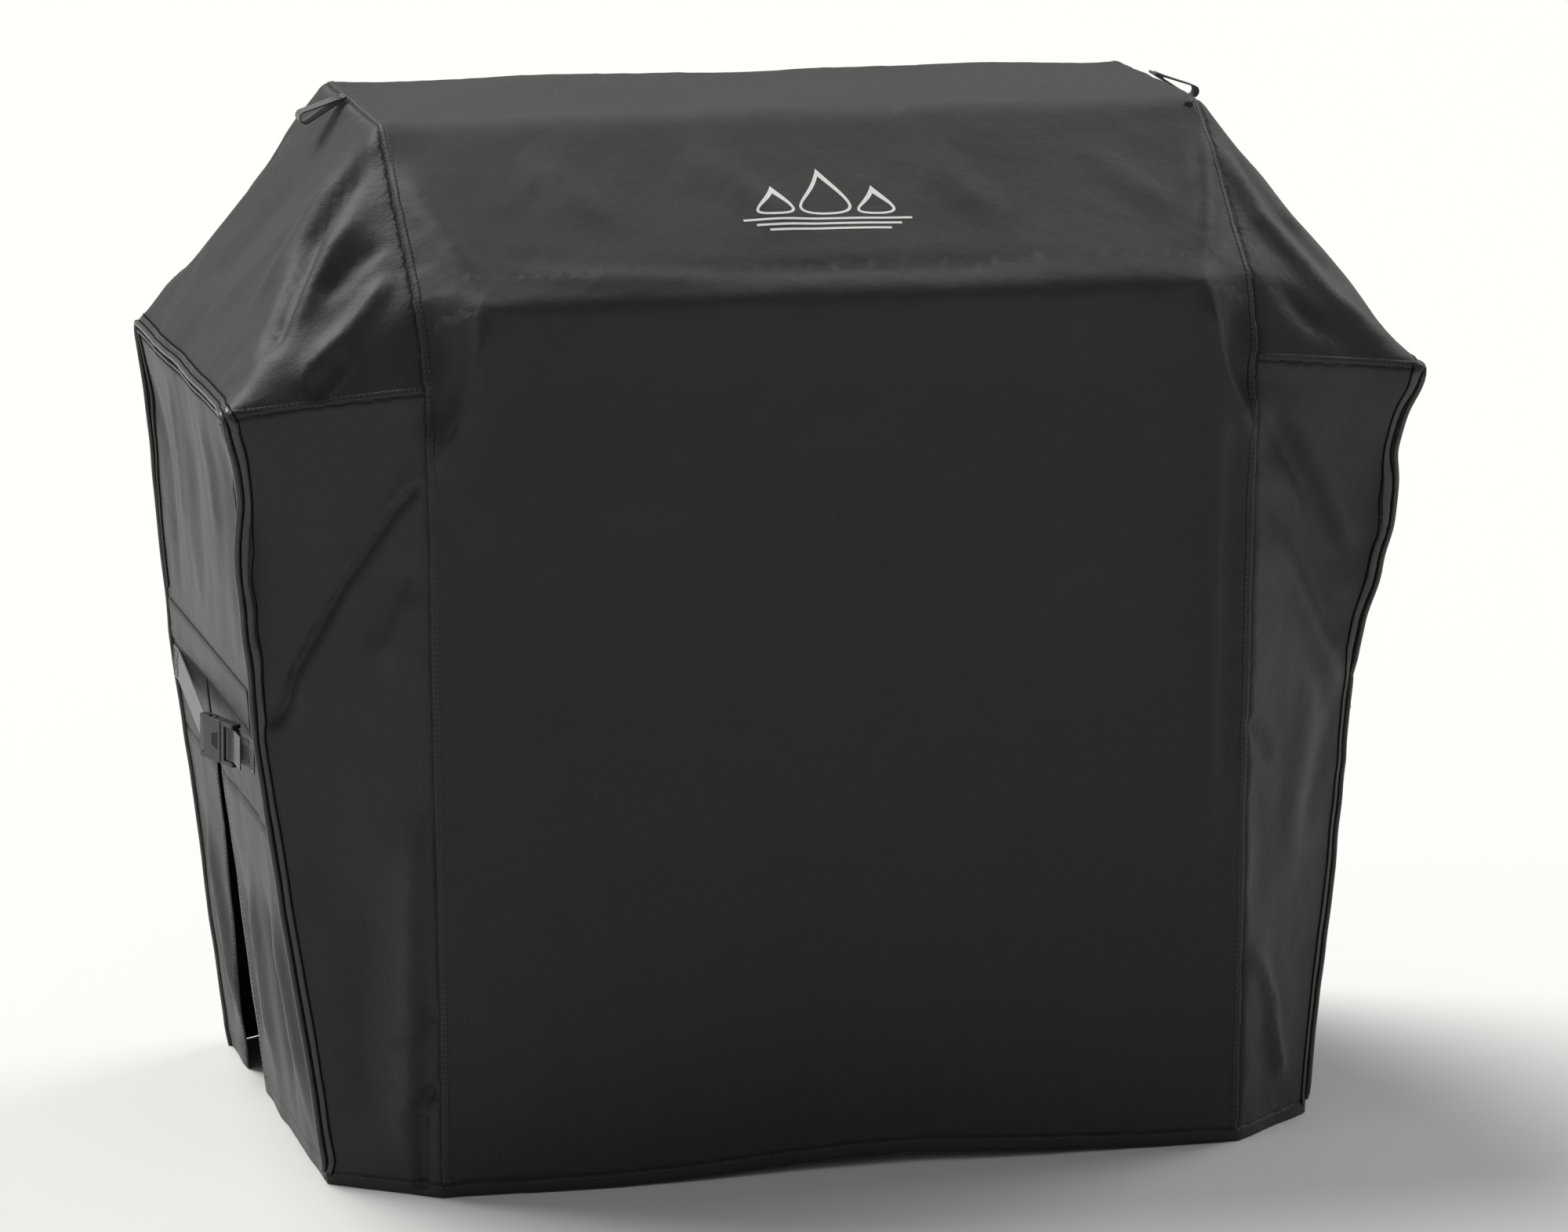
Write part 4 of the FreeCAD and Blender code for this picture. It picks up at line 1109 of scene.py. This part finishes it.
def rib(bm, centre, along, out, size):
    """A raised rib with rounded edges: size is along, out and up."""
    up = Vector((0, 0, 1))
    made = bmesh.ops.create_cube(bm, size=1.0)["verts"]
    turn = Matrix((along * size[0], out * size[1], up * size[2])).transposed().to_4x4()
    bmesh.ops.transform(bm, matrix=Matrix.Translation(centre) @ turn, verts=made)
    edges = list({e for v in made for e in v.link_edges})
    bmesh.ops.bevel(
        bm, geom=edges, affect="EDGES", offset=min(size) * 0.35, segments=2, profile=0.5, material=-1
    )


def buckles():
    for side, sign in SIDES:
        along, out = buckle_axes(side, sign)
        for part, body in (
            ("socket", f"{side}_socket"), ("plug", "cover"),
            ("upper_prong", f"{side}_upper_prong"), ("lower_prong", f"{side}_lower_prong")
        ):
            node = f"{side}_buckle_{part}"
            bm = merged_copy(node)
            reach = max(v.co.dot(out) for v in bm.verts)
            low = min(v.co.dot(along) for v in bm.verts)
            high = max(v.co.dot(along) for v in bm.verts)
            centre_z = sum(p.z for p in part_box(node)) / 2
            soften_edges(bm, 0.0007)
            level = Vector((0, 0, centre_z))
            if part == "socket":
                for k in range(4):
                    middle = along * (low + 0.008 + 0.0034 * k) + out * (reach + 0.0001) + level
                    rib(bm, middle, along, out, (0.0014, 0.0012, 0.020 - 0.002 * k))
                rib(bm, along * (low + 0.0012) + out * reach + level, along, out, (0.0016, 0.0010, 0.044))
            if part == "plug":
                for k in range(2):
                    middle = along * (low + 0.0036 + 0.0034 * k) + out * reach + level
                    rib(bm, middle, along, out, (0.0012, 0.0010, 0.034))
            if part.endswith("prong"):
                facing = 1 if part.startswith("upper") else -1
                edge_z = max(facing * v.co.z for v in bm.verts) * facing
                for k in range(3):
                    middle = (along * (high - 0.006 - 0.0032 * k) + out * (reach - 0.0025)
                              + Vector((0, 0, edge_z)))
                    rib(bm, middle, along, out, (0.0011, 0.0034, 0.0008))
            bmesh.ops.recalc_face_normals(bm, faces=bm.faces[:])
            made = new_piece(f"{side}_{part}_moulding", bm, FINISHES["plastic"])
            even_shading(made)
            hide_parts(node)
            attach(made, body)


def write_weave(bm, across):
    """UVs for webbing whose width runs along a direction."""
    uv = bm.loops.layers.uv.new("cut")
    for face in bm.faces:
        onward = face.normal.cross(across)
        onward = onward.normalized() if onward.length > 0.2 else Vector((0, 1, 0))
        if max(onward, key=abs) < 0:
            onward.negate()
        for loop in face.loops:
            loop[uv].uv = (loop.vert.co.dot(across), loop.vert.co.dot(onward))


def webbing_piece(node, name, across):
    bm = merged_copy(node)
    soften_edges(bm, 0.00028, 50)
    for _ in range(5):
        long_edges = [e for e in bm.edges if e.calc_length() > 0.010]
        if not long_edges:
            break
        bmesh.ops.subdivide_edges(bm, edges=long_edges, cuts=1)
        bmesh.ops.triangulate(bm, faces=[f for f in bm.faces if len(f.verts) > 3])
    bm.normal_update()
    write_weave(bm, across)
    made = new_piece(name, bm, FINISHES["webbing"])
    even_shading(made)
    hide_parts(node)
    return made


def straps_and_loops():
    thread = bmesh.new()
    for side, sign in SIDES:
        up = Vector((0, 0, 1))
        made = webbing_piece(f"{side}_strap_front", f"{side}_front_webbing", up)
        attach(made, "cover")
        low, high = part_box(f"{side}_strap_rear")
        made = webbing_piece(f"{side}_strap_rear", f"{side}_rear_webbing", up)
        level = (low.z + high.z) / 2
        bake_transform(made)
        tree = BVHTree.FromObject(made, bpy.context.evaluated_depsgraph_get())
        front = bpy.data.objects[f"{side}_front_webbing"]
        front_tree = BVHTree.FromObject(front, bpy.context.evaluated_depsgraph_get())
        side_out = Vector((sign, 0, 0))
        for some, y in ((tree, high.y - 0.017), (front_tree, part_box(f"{side}_strap_front")[0].y + 0.017)):
            hit = some.ray_cast(Vector((sign * 0.8, y, level)), -side_out)[0]
            if hit:
                sew(thread, box_stitches(hit + side_out * 0.0002, Vector((0, 1, 0)), side_out, 0.024, 0.030))
        loop = webbing_piece(f"{side}_pull_loop", f"{side}_loop_webbing", Vector((0, 1, 0)))
        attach(loop, f"{side}_loop")
        root = LOOP_ROOTS[side]
        loop_tree = BVHTree.FromObject(loop, bpy.context.evaluated_depsgraph_get())
        ends = [v.co for v in loop.data.vertices]
        tip = max(ends, key=lambda p: p.x * sign)
        onward = Vector((tip.x - root.x, 0, tip.z - root.z)).normalized()
        face_out = Vector((0, 1, 0)).cross(onward)
        face_out *= math.copysign(1.0, face_out.z)
        hit = loop_tree.ray_cast(root + onward * 0.012 + face_out * 0.02, -face_out, 0.04)[0]
        if hit:
            loop_thread = bmesh.new()
            sew(loop_thread, box_stitches(hit + face_out * 0.0002, onward, face_out, 0.012, 0.018))
            made = new_piece(f"{side}_loop_stitches", loop_thread, FINISHES["thread"])
            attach(made, f"{side}_loop")
    made = new_piece("strap_stitches", thread, FINISHES["thread"])
    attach(made, "cover")


def rain_flaps(cloth):
    """A strip of cloth over each vent, sewn along its top and hemmed along its lower edge."""
    for side, sign in SIDES:
        low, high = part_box(f"{side}_rain_flap")
        bm = bmesh.new()
        along_cells, up_cells = 96, 10
        bmesh.ops.create_grid(bm, x_segments=along_cells, y_segments=up_cells, size=1)
        uv = bm.loops.layers.uv.new("cut")
        for vert in bm.verts:
            share = (vert.co.y + 1) / 2
            y = low.y + (high.y - low.y) * (vert.co.x + 1) / 2
            z = low.z + (high.z - low.z) * share
            hit = cloth.ray_cast(Vector((sign * 0.9, y, z)), Vector((-sign, 0, 0)))[0]
            loose = (1 - share) ** 2
            wave = 0.5 + 0.5 * noise.noise(Vector((y * 16, sign * 4, z * 3)))
            hem = 0.0007 if share < 0.22 else 0.0
            vert.co = Vector((hit.x + sign * (0.0020 + 0.0016 * wave * loose + hem), y,
                              z + 0.0012 * wave * loose))
        for face in bm.faces:
            for loop in face.loops:
                loop[uv].uv = (loop.vert.co.y, loop.vert.co.z)
        bm.normal_update()
        if sum(f.normal.x for f in bm.faces) * sign < 0:
            bmesh.ops.reverse_faces(bm, faces=bm.faces[:])
        made = new_piece(f"{side}_rain_flap_cloth", bm, FINISHES["cover_plain"])
        wall = made.modifiers.new("thickness", "SOLIDIFY")
        wall.thickness = CLOTH
        wall.offset = -1.0
        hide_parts(f"{side}_rain_flap")
        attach(made, f"{side}_rain_flap")
        strip = BVHTree.FromObject(made, bpy.context.evaluated_depsgraph_get())
        thread = bmesh.new()
        for height in (low.z + 0.009, high.z - 0.005):
            points = []
            for k in range(90):
                y = low.y + 0.006 + (high.y - low.y - 0.012) * k / 89
                hit = strip.ray_cast(Vector((sign * 0.9, y, height)), Vector((-sign, 0, 0)))[0]
                if hit:
                    points.append(hit + Vector((sign * 0.0002, 0, 0)))
            frames = [(a.lerp(b, 0.5), (b - a).normalized(), Vector((sign, 0, 0))) for a,
                      b in zip(points, points[1:])]
            sew(thread, frames)
        stitched = new_piece(f"{side}_rain_flap_stitches", thread, FINISHES["thread"])
        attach(stitched, f"{side}_rain_flap")


def camera():
    """At the usual viewing angle: from the front left, a little above."""
    target = Vector((0.004, -0.05, 0.585))
    azimuth, elevation = math.radians(-15.819), math.radians(13.181)
    back = Vector(
        (math.sin(azimuth) * math.cos(elevation), -math.cos(azimuth) * math.cos(elevation),
         math.sin(elevation))
    )
    right = (-back).cross(Vector((0, 0, 1))).normalized()
    up = back.cross(right)
    turn = Matrix((right, up, back)).transposed() @ Matrix.Rotation(math.radians(0.785), 3, "Z")
    data = bpy.data.cameras.new("camera")
    data.lens = 154.12
    data.sensor_width = 36.0
    data.clip_end = 100.0
    view = bpy.data.objects.new("camera", data)
    view.matrix_world = Matrix.Translation(target + back * 7.909) @ turn.to_4x4()
    SCENE.collection.objects.link(view)
    SCENE.camera = view


def studio():
    """A pale floor under an even sky, a broad light from the upper left behind, and weak ones beside it."""
    SCENE.view_settings.view_transform = "Standard"
    world = bpy.data.worlds.new("studio")
    SCENE.world = world
    world.use_nodes = True
    world.node_tree.nodes["Background"].inputs[0].default_value = (1, 1, 1, 1)
    world.node_tree.nodes["Background"].inputs[1].default_value = 0.28
    bm = bmesh.new()
    bmesh.ops.create_grid(bm, x_segments=1, y_segments=1, size=30.0)
    mesh = bpy.data.meshes.new("floor")
    bm.to_mesh(mesh)
    bm.free()
    floor = bpy.data.objects.new("floor", mesh)
    SCENE.collection.objects.link(floor)
    mesh.materials.append(new_finish("floor_paper", (0.72, 0.72, 0.72), 0.9)[0])
    sun("key", (-0.34, 0.50, 0.80), 3.6, 38, (1.0, 0.985, 0.95))
    sun("right", (0.70, 0.35, 0.62), 0.9, 30, (1.0, 0.99, 0.97))
    sun("side", (-0.82, -0.25, 0.38), 0.14, 20, (1.0, 0.99, 0.96))


def sun(name, towards, power, spread, colour):
    data = bpy.data.lights.new(name, "SUN")
    data.energy = power
    data.angle = math.radians(spread)
    data.color = colour
    made = bpy.data.objects.new(name, data)
    made.rotation_euler = Vector(towards).to_track_quat("Z", "Y").to_euler()
    SCENE.collection.objects.link(made)


shell = sewn_shell()
refine(shell, GRID * (1.0))
refine(shell, GRID * 0.5, beside_seams(shell, 0.0145), 2)
cuts = lay_flat(shell)
soften(shell, 5)
fold_cloth(shell)
mark_seams(shell, 0.0012, 0.0016)
cloth = BVHTree.FromBMesh(shell)
hang_pieces(shell, cuts)
sew_details(shell, cloth)
pipe_ends(shell, cloth)
edge_rows(shell, cloth)
rain_flaps(cloth)
straps_and_loops()
buckles()
badge(cloth)
bpy.data.meshes.remove(STITCH)
shell.free()
camera()
studio()
